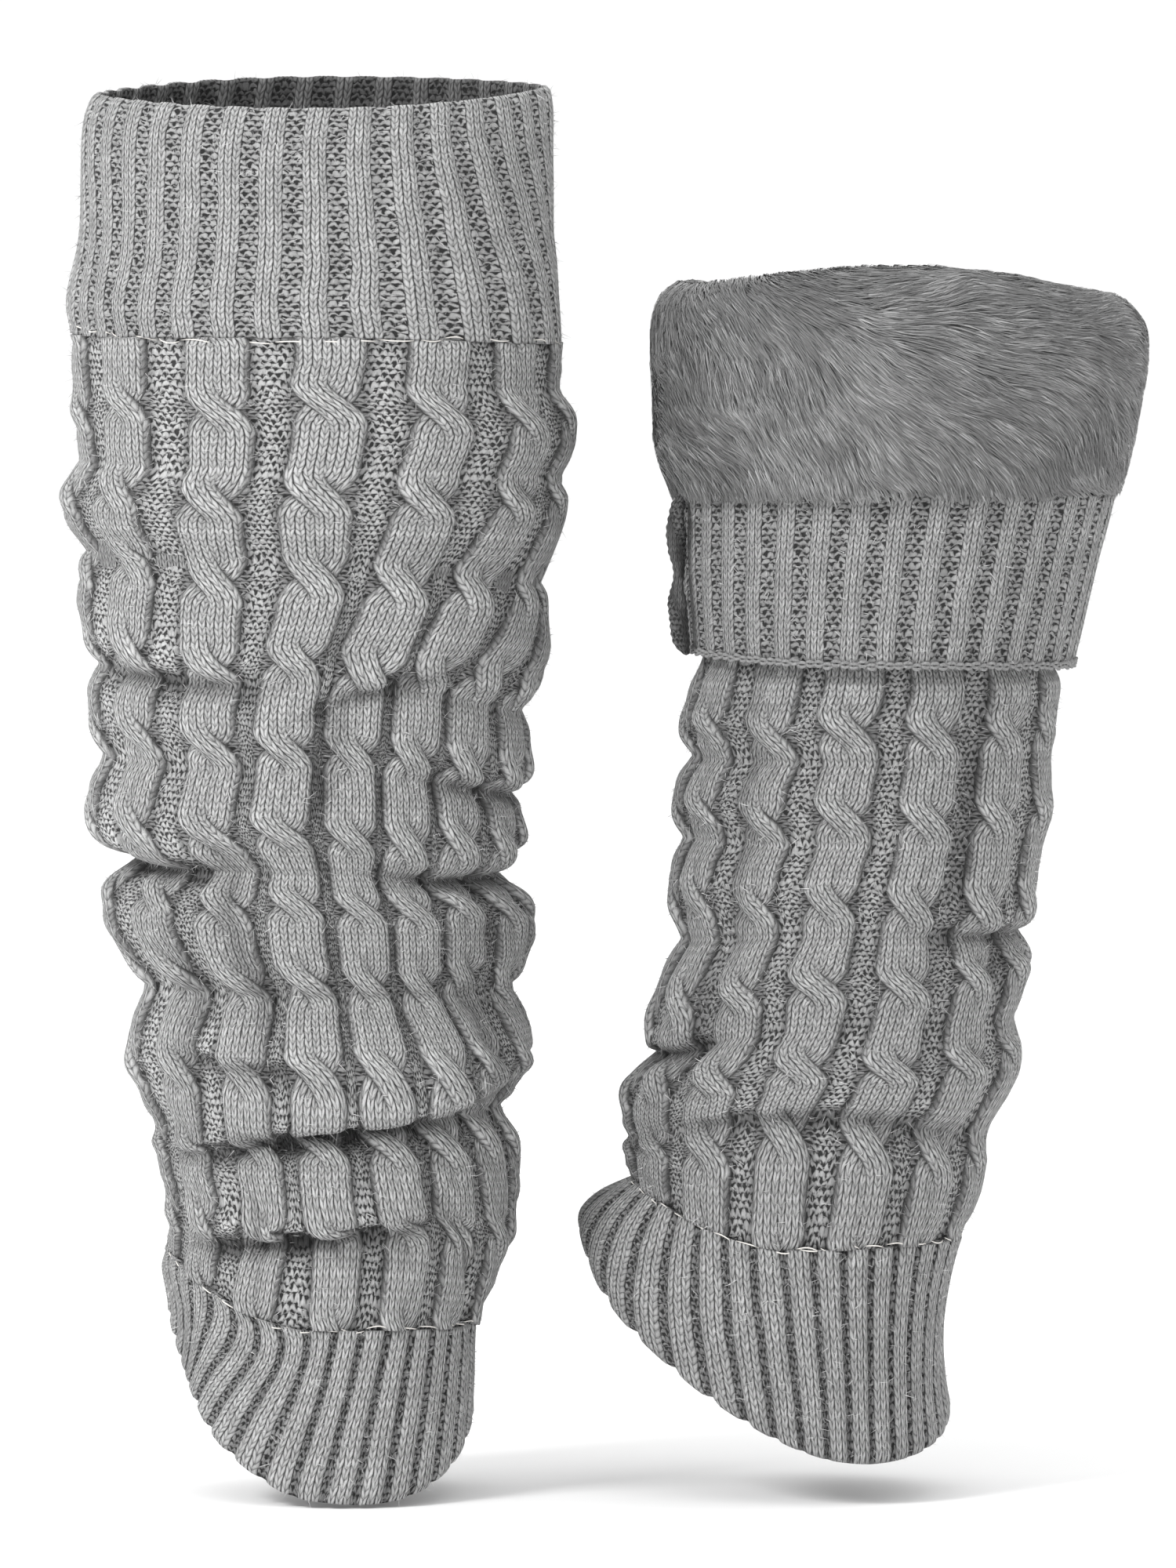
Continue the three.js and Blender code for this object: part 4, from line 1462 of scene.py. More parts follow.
        slant = n.times(slant, 2.6 / STRAND_RUN * PANEL_HALF**2 / TWIST_PITCH / COURSE)
        under_v = n.times(n.times(slant, from_under), -1.0)
        gap = n.clamp(n.math("MINIMUM", n.minus(x, 1.0), n.minus(3.0, x)))
        pinch = n.times(turn, n.bell(n.divide(turn, 0.2)))
        pinch = n.times(pinch, n.times(n.minus(1.0, gap), 0.8 * TWIST_PITCH / COURSE))
        slid = n.mix(over, n.mix(within, pinch, under_v), n.times(slant, from_over))
        new_v = n.plus(v, slid)
        # Painted shadow on the cloth beside an over strand, near the twist.
        wide = n.bell(n.divide(turn, 0.27))
        beside = n.clamp(n.minus(1.0, n.divide(n.minus(side, 1.0), 0.34)))
        beside = n.times(n.times(beside, beside), n.times(wide, 0.62))
        beside = n.times(beside, n.minus(1.0, over))
        # Painted shade: gutters darker next to the panels, cable edges and strand edges darker, a strand's
        # middle a little lighter.
        gap_shade = n.ramp(gap, 0.0, 0.5, 0.5, 1.0)
        rim = n.ramp(out, 0.78, 1.0, 1.0, 0.42)
        strand = n.ramp(side, 0.8, 1.0, 1.04, 0.5)
        new_shade = n.mix(over, n.mix(within, gap_shade, rim), n.mix(wide, rim, strand))
        new_shade = n.times(new_shade, n.minus(1.0, beside))
        lift = n.times(n.times(over, wide), n.ramp(side, 0.72, 1.0, 1.0, 0.0))
        lift = n.times(n.times(lift, 1.1), here)
        steep = n.mix(n.clamp(n.times(wide, 1.6)), out, n.mix(over, out, side))
        wall = n.times(n.times(n.ramp(steep, 0.86, 0.98, 0.0, 0.8), cloth), here)
        new_purl = n.minus(1.0, cloth)
        return (
            n.mix(here, u, new_u),
            n.mix(here, v, new_v),
            n.mix(here, purl, new_purl),
            n.times(shade, n.mix(here, 1.0, new_shade)),
            lift,
            wall,
        )


@dataclass(frozen=True)
class FurFinish:
    """Loose hair or fibre: its colour at the root, darker there as painted shade, at the tip, and that of the
    lightest ones.
    """

    name: str
    root: tuple
    tip: tuple
    bright: tuple

    def make(self) -> Material:
        """Makes the material from each hair's own tone and the place along it.

        Returns:
            The material.
        """
        n = Nodes(self.name)
        along, tone = n.attribute("along"), n.attribute("tone")
        # The roots are darker than the tips: painted shade deep in the pile.
        colour = n.mix_colour(n.ramp(along, 0.0, 0.75), (*self.root, 1), (*self.tip, 1))
        colour = n.mix_colour(n.times(n.ramp(tone, 0.3, 1.0), 0.9), colour, (*self.bright, 1))
        return n.finish(colour, 0.62, None, sheen=0.1)


@dataclass(frozen=True)
class UndercoatFinish:
    """The dense wool and backing below the pile, coloured as dark as the hairs' roots: painted shade deep in
    the pile.
    """

    name: str
    dark: tuple
    light: tuple

    def make(self) -> Material:
        """Makes a soft streaked material in object space.

        Returns:
            The material.
        """
        n = Nodes(self.name)
        place = n.new("ShaderNodeTexCoord").outputs["Object"]
        streak = n.noise(place, 420.0, 4.0, 0.65)
        colour = n.mix_colour(n.ramp(streak, 0.3, 0.7), (*self.dark, 1), (*self.light, 1))
        return n.finish(colour, 0.9, streak, 0.0008, 0.8, 0.1)


@dataclass(frozen=True)
class ThreadFinish:
    """Smooth sewing thread or yarn."""

    name: str
    colour: tuple
    dark: tuple

    def make(self) -> Material:
        """Makes a plied thread.

        Returns:
            The material.
        """
        n = Nodes(self.name)
        place = n.new("ShaderNodeTexCoord").outputs["Object"]
        grain = n.noise(place, 1600.0, 2.0)
        colour = n.mix_colour(grain, (*self.dark, 1), (*self.colour, 1))
        return n.finish(colour, 0.75, grain, 0.0001, 0.6)


def plain_object(name: str, points: Array, faces: Array, material: Material, attributes: tuple = ()) -> Piece:
    """Makes a mesh object of triangles or quads, smooth shaded.

    Args:
        name: the object's name.
        points: array (n, 3) in metres.
        faces: array (m, 3 or 4) of point indices.
        material: its material.
        attributes: (name, values) pairs, a value for each point.

    Returns:
        The object.
    """
    mesh = bpy.data.meshes.new(name)
    size = faces.shape[1]
    mesh.vertices.add(len(points))
    mesh.vertices.foreach_set("co", np.asarray(points, np.float32).ravel())
    mesh.loops.add(faces.size)
    mesh.loops.foreach_set("vertex_index", faces.astype(np.int32).ravel())
    mesh.polygons.add(len(faces))
    mesh.polygons.foreach_set("loop_start", np.arange(0, faces.size, size, dtype=np.int32))
    mesh.polygons.foreach_set("use_smooth", np.ones(len(faces), bool))
    for key, values in attributes:
        mesh.attributes.new(key, "FLOAT", "POINT").data.foreach_set("value", np.asarray(values, np.float32))
    mesh.update(calc_edges=True)
    mesh.materials.append(material)
    made = bpy.data.objects.new(name, mesh)
    bpy.context.scene.collection.objects.link(made)
    return made


def tubes(name: str, lines: list, radii: list, sides: int, material: Material) -> Piece:
    """Joins round tubes along lines into one mesh, with closed ends.

    Args:
        name: the object's name.
        lines: list of arrays (k, 3) in metres.
        radii: list of arrays (k,) in metres.
        sides: sides of each tube.
        material: the material.

    Returns:
        The object.
    """
    points, faces, base = [], [], 0
    turn = np.arange(sides) * TURN / sides
    for line, radius in zip(lines, radii):
        along = np.gradient(line, axis=0)
        along /= np.linalg.norm(along, axis=1, keepdims=True)
        helper = np.where(np.abs(along[:, 2:3]) > 0.9, [[1.0, 0, 0]], [[0, 0, 1.0]])
        a = np.cross(along, helper)
        a /= np.linalg.norm(a, axis=1, keepdims=True)
        b = np.cross(along, a)
        ring = line[:, None, :] + radius[:, None, None] * (
            np.cos(turn)[None, :, None] * a[:, None, :] + np.sin(turn)[None, :, None] * b[:, None, :]
        )
        count = len(line)
        points.append(ring.reshape(-1, 3))
        points.append(np.stack([line[0], line[-1]]))
        index = base + np.arange(count * sides).reshape(count, sides)
        nxt = np.roll(index, -1, axis=1)
        quads = np.stack([index[:-1], nxt[:-1], nxt[1:], index[1:]], axis=-1).reshape(-1, 4)
        faces.append(quads[:, [0, 1, 2]])
        faces.append(quads[:, [0, 2, 3]])
        first, last = base + count * sides, base + count * sides + 1
        faces.append(np.stack([np.full(sides, first), nxt[0], index[0]], axis=-1))
        faces.append(np.stack([np.full(sides, last), index[-1], nxt[-1]], axis=-1))
        base += count * sides + 2
    return plain_object(name, np.concatenate(points), np.concatenate(faces), material)


@dataclass
class Fuzz:
    """The loose ends of the yarn, which stand off the knitting.

    Attributes:
        name: the piece's name.
        seed: what its random draws start from.
        count: how many ends there are.
        top_x: where the leg's axis stands at the height of the tall opening, in metres.
        low_x: where it stands at the hem.
        hem_z: the height of the hem.
    """

    name: str
    seed: int
    count: int
    top_x: float
    low_x: float
    hem_z: float = -0.37

    def places(self, piece: Piece) -> tuple:
        """Finds the middles, normals and areas of a piece's outward faces.

        Args:
            piece: the knitted piece.

        Returns:
            Three arrays, with a row for each face.
        """
        count = len(piece.data.polygons)
        middle, normal, area = np.zeros(count * 3), np.zeros(count * 3), np.zeros(count)
        piece.data.polygons.foreach_get("center", middle)
        piece.data.polygons.foreach_get("normal", normal)
        piece.data.polygons.foreach_get("area", area)
        middle, normal = middle.reshape(-1, 3), normal.reshape(-1, 3)
        axis = self.top_x + (self.low_x - self.top_x) * np.clip(middle[:, 2] / self.hem_z, 0, 1)
        away = np.stack([middle[:, 0] - axis, middle[:, 1]], axis=1)
        outward = (away * normal[:, :2]).sum(axis=1) > 0.15 * np.linalg.norm(away, axis=1)
        return middle[outward], normal[outward], area[outward]

    def build(self, pieces: list, material: Material) -> Piece:
        """Makes one mesh of short fibres, a triangle each, over the pieces of a leg.

        Args:
            pieces: the knitted pieces.
            material: the yarn's.

        Returns:
            The object.
        """
        random, count = np.random.default_rng(self.seed), self.count
        found = [self.places(piece) for piece in pieces]
        middle, normal, area = (np.concatenate([f[k] for f in found]) for k in range(3))
        picked = random.choice(len(area), size=count, p=area / area.sum())
        root, up = middle[picked], normal[picked]
        root = root + 0.5 * MM * random.normal(size=(count, 3))
        root -= up * ((root - middle[picked]) * up).sum(axis=1, keepdims=True)
        way = random.normal(size=(count, 3))
        way -= up * (way * up).sum(axis=1, keepdims=True)
        way /= np.linalg.norm(way, axis=1, keepdims=True)
        side = np.cross(way, up)
        way = way + up * (0.12 + 0.5 * random.random(count))[:, None]
        length = (1.2 + 2.4 * random.random(count))[:, None] * MM
        width = (0.05 + 0.035 * random.random(count))[:, None] * MM
        points = np.stack([root - side * width, root + side * width, root + way * length], axis=1)
        faces = np.arange(count * 3).reshape(count, 3)
        along = np.tile([0.3, 0.3, 1.0], count)
        tone = np.repeat(random.random(count), 3)
        attributes = (("along", along), ("tone", tone))
        return plain_object(self.name, points.reshape(-1, 3), faces, material, attributes)


@dataclass(frozen=True)
class PileStrip:
    """One strip of the pile.

    Attributes:
        name: the piece's name.
        low: where it starts, as a share of the band's length from its lower edge outside.
        high: where it ends.
        count: how many hairs it has.
        length: the shortest and the longest hair, in millimetres.
        width: of a hair at its root.
    """

    name: str
    low: float
    high: float
    count: int
    length: tuple
    width: float


@dataclass
class FurBand:
    """The fur lining over the fold: a dense undercoat and long combed hairs that gather into locks.

    Attributes:
        surface: the tips of the pile, as in the solid.
        random: where the hairs' random draws come from.
        sunk: how deep the skin lies below the surface, in millimetres.
        fold_sunk: how much deeper it lies at the fold.
        fold_row: the section at which the fold lies.
        fold_reach: how far the fold reaches, as cloth length.
        columns: points round the undercoat.
        rows: points along it.
        lock_down: the pitch of the locks down the band.
        lock_turn: their pitch round it, in degrees.
        radius: the band's mean radius.
        edge: how far from the band's edges a hair stops following the cloth.
    """

    surface: Tube = field(default_factory=lambda: Tube(FUR_OUTSIDE))
    random: np.random.Generator = field(default_factory=lambda: np.random.default_rng(SEED))
    sunk: float = 2.0
    fold_sunk: float = 1.5
    fold_row: int = 5
    fold_reach: float = 14
    columns: int = 180
    rows: int = 64
    lock_down: float = 2.7
    lock_turn: float = 2.9
    radius: float = 62
    edge: float = 0.6

    def base(self, down: Array, angle: Array) -> tuple:
        """Finds points of the skin below the pile.

        Args:
            down: array of cloth lengths.
            angle: array of angles.

        Returns:
            Two arrays (..., 3), the points and the normals away from the band.
        """
        normal = -self.surface.normal(down, angle)
        wave = 0.55 * lattice_noise(np.degrees(angle) / 9, down / 11, SEED + 5)
        fold = self.surface.lengths[self.fold_row]
        depth = self.sunk - wave + self.fold_sunk * bell((down - fold) / self.fold_reach)
        return self.surface.point(down, angle) - normal * depth[..., None], normal

    def undercoat(self, material: Material) -> Piece:
        """Makes the closed band of undercoat.

        Args:
            material: the wool's.

        Returns:
            The object.
        """
        columns = self.columns
        angles = (np.arange(columns) * TURN / columns)[None, :]
        rows = np.linspace(0, self.surface.length, self.rows)[:, None]
        outside, _ = self.base(rows + 0 * angles, angles + 0 * rows)
        backing = [section_point(dict(zip(SECTION, row)), angles[0]) for row in FUR_BACKING]
        loops = np.concatenate([outside, np.stack(backing)])
        count = len(loops)
        index = np.arange(count * columns).reshape(count, columns)
        below = np.roll(index, -1, axis=0)
        quads = np.stack([index, np.roll(index, -1, axis=1), np.roll(below, -1, axis=1), below], axis=-1)
        return plain_object("short_fur_undercoat", loops.reshape(-1, 3) * MM, quads.reshape(-1, 4), material)

    def nap(self, down: Array, angle: Array) -> Array:
        """Finds the way in which the pile is combed.

        Args:
            down: array of cloth lengths.
            angle: array of angles.

        Returns:
            An array of radians below the rightward direction, seen from outside.
        """
        degrees = degrees_past(angle)
        height = down / self.surface.length
        left = smooth((12 - degrees) / 60)
        top = smooth((height - 0.1) / 0.3)
        right = 44 - 34 * top
        steep = 60 - 10 * top
        course = right + (steep - right) * left
        swirl = 30 * lattice_noise(degrees / 26, down / 17, SEED + 14)
        swirl = swirl + 15 * lattice_noise(degrees / 8, down / 6, SEED + 12)
        return np.radians(course + swirl)

    def combed(self, down: Array, angle: Array, comb: Array, length: Array, lift: Array) -> Array:
        """Finds where hairs come that lie along the pile and follow the cloth, over the fold too.

        Args:
            down: the places of their roots up the band.
            angle: the places of their roots round the leg.
            comb: the way in which each lies, in radians below the rightward direction.
            length: how far each reaches.
            lift: how high above the skin it comes.

        Returns:
            An array (n, 3) of points.
        """
        to_down = down - np.sin(comb) * length
        to_angle = angle + np.cos(comb) * length / self.radius
        held = np.clip(to_down, self.edge, self.surface.length - self.edge)
        skin, normal = self.base(held, to_angle)
        up = self.surface.point(held + 0.5, to_angle) - self.surface.point(held - 0.5, to_angle)
        return skin + up * (to_down - held)[:, None] + normal * lift[:, None]

    def hairs(self, strip: PileStrip, material: Material) -> Piece:
        """Makes the hairs of a strip, each a ribbon of three triangles.

        Args:
            strip: the strip.
            material: the fur's.

        Returns:
            The object.
        """
        random, count = self.random, strip.count
        shortest, longest = strip.length
        down = (strip.low + (strip.high - strip.low) * random.random(count)) * self.surface.length
        angle = random.random(count) * TURN
        cell_down, cell_angle = self.lock_down, math.radians(self.lock_turn)
        row = np.floor(down / cell_down + 0.35 * lattice_noise(down / 3, angle * 9, SEED + 30))
        column = np.floor(angle / cell_angle + 0.35 * lattice_noise(down / 3, angle * 9, SEED + 31))
        jitter = np.sin(row * 91.7 + column * 47.3) * 9631.7
        other = np.sin(row * 17.1 + column * 83.9) * 7351.3
        lock_down = (row + 0.5 + 0.8 * (jitter - np.floor(jitter) - 0.5)) * cell_down
        lock_angle = (column + 0.5 + 0.8 * (other - np.floor(other) - 0.5)) * cell_angle
        lock_down = np.clip(lock_down, 0, self.surface.length)

        root, normal = self.base(down, angle)
        size = shortest + (longest - shortest) * random.random(count)
        size = size * (0.42 + 0.58 * smooth(down / 10))
        comb = self.nap(down, angle) + 0.1 * random.normal(size=count)
        lift = 0.8 + 1.9 * random.random(count)
        middle = self.combed(down, angle, comb, size * 0.5, lift * 0.9)
        tip = self.combed(down, angle, comb, size, lift)
        lock_size = size * 0.4 + 0.6 * longest * (0.42 + 0.58 * smooth(lock_down / 10))
        lock_comb = self.nap(lock_down, lock_angle)
        lock_tip = self.combed(lock_down, lock_angle, lock_comb, lock_size, np.full(count, 2.0))
        pull = 0.25 + 0.45 * random.random(count)[:, None]
        middle = middle + (lock_tip - tip) * pull * 0.35
        tip = tip + (lock_tip - tip) * pull
        side = np.cross(tip - root, normal)
        side /= np.linalg.norm(side, axis=1, keepdims=True)
        side = side + normal * random.normal(scale=0.3, size=count)[:, None]
        side /= np.linalg.norm(side, axis=1, keepdims=True)
        half = strip.width / 2 * (0.6 + 1.9 * random.random(count) ** 3)[:, None]
        points = np.stack(
            [root - side * half, root + side * half, middle - side * half, middle + side * half, tip], axis=1
        )
        index = np.arange(count)[:, None] * 5
        pattern = np.array([[0, 1, 3], [0, 3, 2], [2, 3, 4]])
        faces = (index[:, None, :] + pattern[None]).reshape(-1, 3)
        along = np.tile([0.0, 0.0, 0.55, 0.55, 1.0], count)
        lock_tone = np.sin(row * 37.7 + column * 12.9) * 4373.1
        lock_tone = lock_tone - np.floor(lock_tone)
        tone = 0.62 * random.random(count) + 0.38 * lock_tone
        patch = 0.2 * lattice_noise(np.degrees(angle) / 13, down / 8, SEED + 21)
        tone = np.repeat(np.clip(tone + patch, 0, 1), 5)
        attributes = (("along", along), ("tone", tone))
        return plain_object(strip.name, points.reshape(-1, 3) * MM, faces, material, attributes)


@dataclass
class SeamRoll:
    """The turned cuff's side seam: its allowance stands out as a twisted roll of knitting.

    Attributes:
        sections: its sections from top to bottom: x, y, z, half width, half depth and turn in degrees.
        rings: points along it.
        columns: points round it.
        wales: stitches round it.
        course: the height of a stitch, in millimetres.
    """

    sections: tuple = (
        (95, -15, -107, 1.4, 1.6, 0),
        (94.2, -16, -109.5, 2.7, 3.4, 10),
        (93.7, -16.5, -115, 3.1, 4.2, 25),
        (94, -16.5, -122, 2.8, 3.8, 45),
        (94.5, -16.5, -127.5, 2.2, 2.9, 70),
        (94, -16.5, -133, 2.8, 3.7, 95),
        (94.4, -16.5, -140, 2.9, 4, 115),
        (95.2, -16, -146, 2.6, 3.2, 130),
        (96.4, -15.5, -149, 1.2, 1.5, 140),
    )
    rings: int = 110
    columns: int = 36
    wales: int = 12
    course: float = 1.7

    def build(self, material: Material) -> Piece:
        """Makes the roll: two lobes that twist round each other, ribbed by their stitches.

        Args:
            material: what it is knitted in.

        Returns:
            The object.
        """
        rows = np.array(self.sections, float)
        at = np.linspace(0, len(rows) - 1, self.rings)
        x, y, z, across, deep, turn = (Curve(np.arange(len(rows)), rows[:, k])(at)[:, None] for k in range(6))
        columns = self.columns
        angle = (np.arange(columns) * TURN / columns)[None, :]
        twist = angle - np.radians(turn * 2.4 + 20 * np.sin(z * 0.35))
        lobes = 0.94 + 0.16 * np.cos(2 * twist)
        wrapped = 0.07 * np.cos(z * 3.1 + 2.2 * np.sin(twist))
        uneven = 0.08 * lattice_noise(np.sin(angle) * 2.1, z / 2.6, SEED + 51)
        reach = lobes + wrapped + uneven
        aside = x - 0.3 + np.sin(angle) * across * 0.8 * reach
        points = np.stack([aside, y - np.cos(angle) * deep * reach, z + 0 * angle], axis=-1)
        # Painted shade: the roll is darker where its surface lies low between the lobes.
        shade = 0.36 + 0.5 * np.clip((reach - 0.72) / 0.5, 0, 1)
        draft = Draft("short_cuff_seam_roll_knit")
        index = draft.add_points(points, shade)
        u = np.broadcast_to(angle / TURN * self.wales, points.shape[:2])
        v = np.broadcast_to(-z / self.course, points.shape[:2])
        knit = np.stack([corners_of(u, self.wales), corners_of(v)], axis=-1)
        purl = np.broadcast_to((np.cos(twist[:-1]) > 0.2)[..., None], knit.shape[:3]).astype(float)
        draft.add_sheet(index, knit, purl, (0.1, 0.996))
        self.cap(draft, points, index, 0, 0.4, 0.02)
        self.cap(draft, points, index, -1, -0.4, 0.06)
        return draft.build(material)

    def cap(self, draft: Draft, points: Array, index: Array, row: int, lift: float, low: float) -> None:
        """Closes an end of the roll.

        Args:
            draft: the mesh in the making.
            points: array (rows, columns, 3) of the roll's points.
            index: array (rows, columns) of their indices.
            row: the end's row, 0 for the top or -1.
            lift: how far its middle stands up, in millimetres.
            low: the low v of the strip of the unit square that its faces take.
        """
        middle = points[row].mean(axis=0) + np.array([0, 0, lift])
        # Painted shade at the tip of the cap.
        tip = draft.add_points(middle[None, None, :], np.array([[0.5]]))[0, 0]
        ring = index[row]
        nxt = np.roll(ring, -1)
        fan = np.stack([np.full(self.columns, tip), ring, nxt, nxt], axis=-1)
        flat = np.zeros((self.columns, 4, 2))
        flat[..., 0] = np.linspace(0.004, 0.95, self.columns)[:, None] + np.array([0.0, 0.0, 0.02, 0.02])
        flat[..., 1] = low + np.array([0.02, 0.0, 0.0, 0.0])
        draft.add_quads(fan, flat * 40, np.zeros((self.columns, 4)), flat, row != 0)


@dataclass
class SeamThread:
    """The off-white thread that links two pieces, seen as small uneven stitches.

    Attributes:
        name: the piece's name.
        surface: the leg's surface.
        down: the cloth length of the seam, in millimetres.
        seed: what its random draws start from.
        depth: how far below the outline the thread lies.
        step: mean angle of a stitch, in degrees.
        sag: (degrees, millimetres) pairs for how far the line strays from the seam.
        radius: the thread's radius.
        points: points along a stitch.
        sides: sides of the thread.
    """

    name: str
    surface: Tube
    down: float
    seed: int
    depth: float
    step: float
    sag: tuple
    radius: float = 0.2
    points: int = 7
    sides: int = 5

    def build(self, material: Material) -> Piece:
        """Makes the stitches.

        Args:
            material: the thread's.

        Returns:
            The object.
        """
        random = np.random.default_rng(self.seed)
        at = 0.0
        lines, radii = [], []
        stray = Curve([p[0] for p in self.sag], [p[1] for p in self.sag])
        share = np.linspace(0, 1, self.points)
        while at < 360:
            span = self.step * (0.75 + 0.6 * random.random())
            angle = np.radians(at + share * span * 0.9)
            bow = (random.random() - 0.5) * 1.4 * np.sin(share * math.pi)
            down = self.down + stray(degrees_past(angle)) + bow + 0.5 * (share - 0.5)
            rise = self.depth - 0.75 * np.sin(share * math.pi) ** 0.5
            points = self.surface.point(down, angle) - self.surface.normal(down, angle) * rise[:, None]
            lines.append(points * MM)
            radii.append(self.radius * (0.6 + 0.4 * np.sin(share * math.pi)) * MM)
            at += span
        return tubes(self.name, lines, radii, self.sides, material)


@dataclass
class BoundEdge:
    """The knobbly bound-off edge of the turned rib.

    Attributes:
        name: the piece's name.
        surface: the turned rib's surface.
        seed: what its random draws start from.
        loops: loops for each rib.
        radius: the yarn's radius, in millimetres.
        points: points along one side of a loop.
        sides: sides of the yarn.
    """

    name: str
    surface: Tube
    seed: int
    loops: int = 4
    radius: float = 0.5
    points: int = 7
    sides: int = 6

    def build(self, material: Material) -> Piece:
        """Makes a chain of loops round the edge.

        Args:
            material: the yarn's.

        Returns:
            The object.
        """
        random = np.random.default_rng(self.seed)
        count = RIB_COUNT * self.loops
        pitch = TURN / count
        lines, radii = [], []
        share = np.linspace(0, 1, self.points)
        for k in range(count):
            drop = 0.5 * math.sin(k * 2.4) + 0.5 * (random.random() - 0.5)
            for side in (-1, 1):
                angle = (k + share * 1.25) * pitch
                bow = side * 0.62 * np.sin(share * math.pi)
                down = self.surface.length - 0.5 + drop * 0.6 + bow
                depth = 0.5 - 0.75 * np.sin(share * math.pi)
                points = self.surface.point(down, angle) - self.surface.normal(down, angle) * depth[:, None]
                lines.append(points * MM)
                radii.append(self.radius * (0.7 + 0.3 * np.sin(share * math.pi)) * MM)
        return tubes(self.name, lines, radii, self.sides, material)


@dataclass
class Studio:
    """The camera, the pale floor and the soft light.

    Attributes:
        centre_x: the picture's middle from left to right, in metres.
        screen_z: its middle from top to bottom.
        height: what it shows from top to bottom.
        distance: from the camera to the middle.
        elevation: how far the camera looks down, in degrees.
        sensor: the height of its sensor, in millimetres.
        floor_z: the floor's height.
        floor_reach: how far it goes on each way.
        floor_steps: its squares each way.
        surround: the strength of the light from all round.
        lamps: the name, place, size and power of each lamp.
        lit: the place that they light.
    """

    centre_x: float = 0.0700
    screen_z: float = -0.1843
    height: float = 0.418
    distance: float = 5.0
    elevation: float = 4.0
    sensor: float = 36
    floor_z: float = -0.3735
    floor_reach: float = 30.0
    floor_steps: int = 24
    surround: float = 1.08
    lamps: tuple = (
        ("key", (-1.8, -1.7, 1.7), 0.9, 60.0),
        ("fill", (2.2, -2.2, 0.6), 2.0, 8.0),
        ("back", (0.2, 0.9, 1.9), 1.8, 8.0),
    )
    lit: tuple = (0.07, 0, -0.18)

    def camera(self) -> None:
        """Places a long lens a little above the middle of the pair."""
        tilt = math.radians(self.elevation)
        data = bpy.data.cameras.new("camera")
        data.sensor_fit = "VERTICAL"
        data.sensor_height = self.sensor
        data.lens = self.sensor * self.distance / self.height
        data.clip_start, data.clip_end = 0.1, 50
        camera = bpy.data.objects.new("camera", data)
        target = Vector((self.centre_x, 0, self.screen_z / math.cos(tilt)))
        camera.location = target + Vector((0, -math.cos(tilt), math.sin(tilt))) * self.distance
        camera.rotation_euler = (math.radians(90 - self.elevation), 0, 0)
        bpy.context.scene.collection.objects.link(camera)
        bpy.context.scene.camera = camera

    def floor(self) -> None:
        """Makes a wide pale floor, open on all sides, so that no view is blocked."""
        count = self.floor_steps
        at = np.linspace(-self.floor_reach, self.floor_reach, count + 1)
        x, y = np.meshgrid(at, at)
        points = np.stack([x, y, np.full_like(x, self.floor_z)], axis=-1).reshape(-1, 3)
        index = np.arange((count + 1) ** 2).reshape(count + 1, count + 1)
        corners = [index[:-1, :-1], index[:-1, 1:], index[1:, 1:], index[1:, :-1]]
        faces = np.stack(corners, axis=-1).reshape(-1, 4)
        material = Nodes("studio_floor").finish((0.95, 0.95, 0.95, 1), 0.9)
        plain_object("studio_floor", points, faces, material)

    def light(self) -> None:
        """Sets a bright even surround, a large key from the upper left and a soft fill."""
        world = bpy.data.worlds.new("studio")
        world.use_nodes = True
        background = world.node_tree.nodes["Background"]
        background.inputs[0].default_value = (1.0, 1.0, 1.0, 1)
        background.inputs[1].default_value = self.surround
        bpy.context.scene.world = world
        for name, place, size, power in self.lamps:
            data = bpy.data.lights.new(name, "AREA")
            data.size, data.energy = size, power
            lamp = bpy.data.objects.new(name, data)
            lamp.location = place
            aim = Vector(self.lit) - Vector(place)
            lamp.rotation_euler = aim.to_track_quat("-Z", "Y").to_euler()
            bpy.context.scene.collection.objects.link(lamp)

    def look(self) -> None:
        """Keeps whites white and greys as they are."""
        bpy.context.scene.view_settings.view_transform = "Standard"
        bpy.context.scene.view_settings.look = "None"


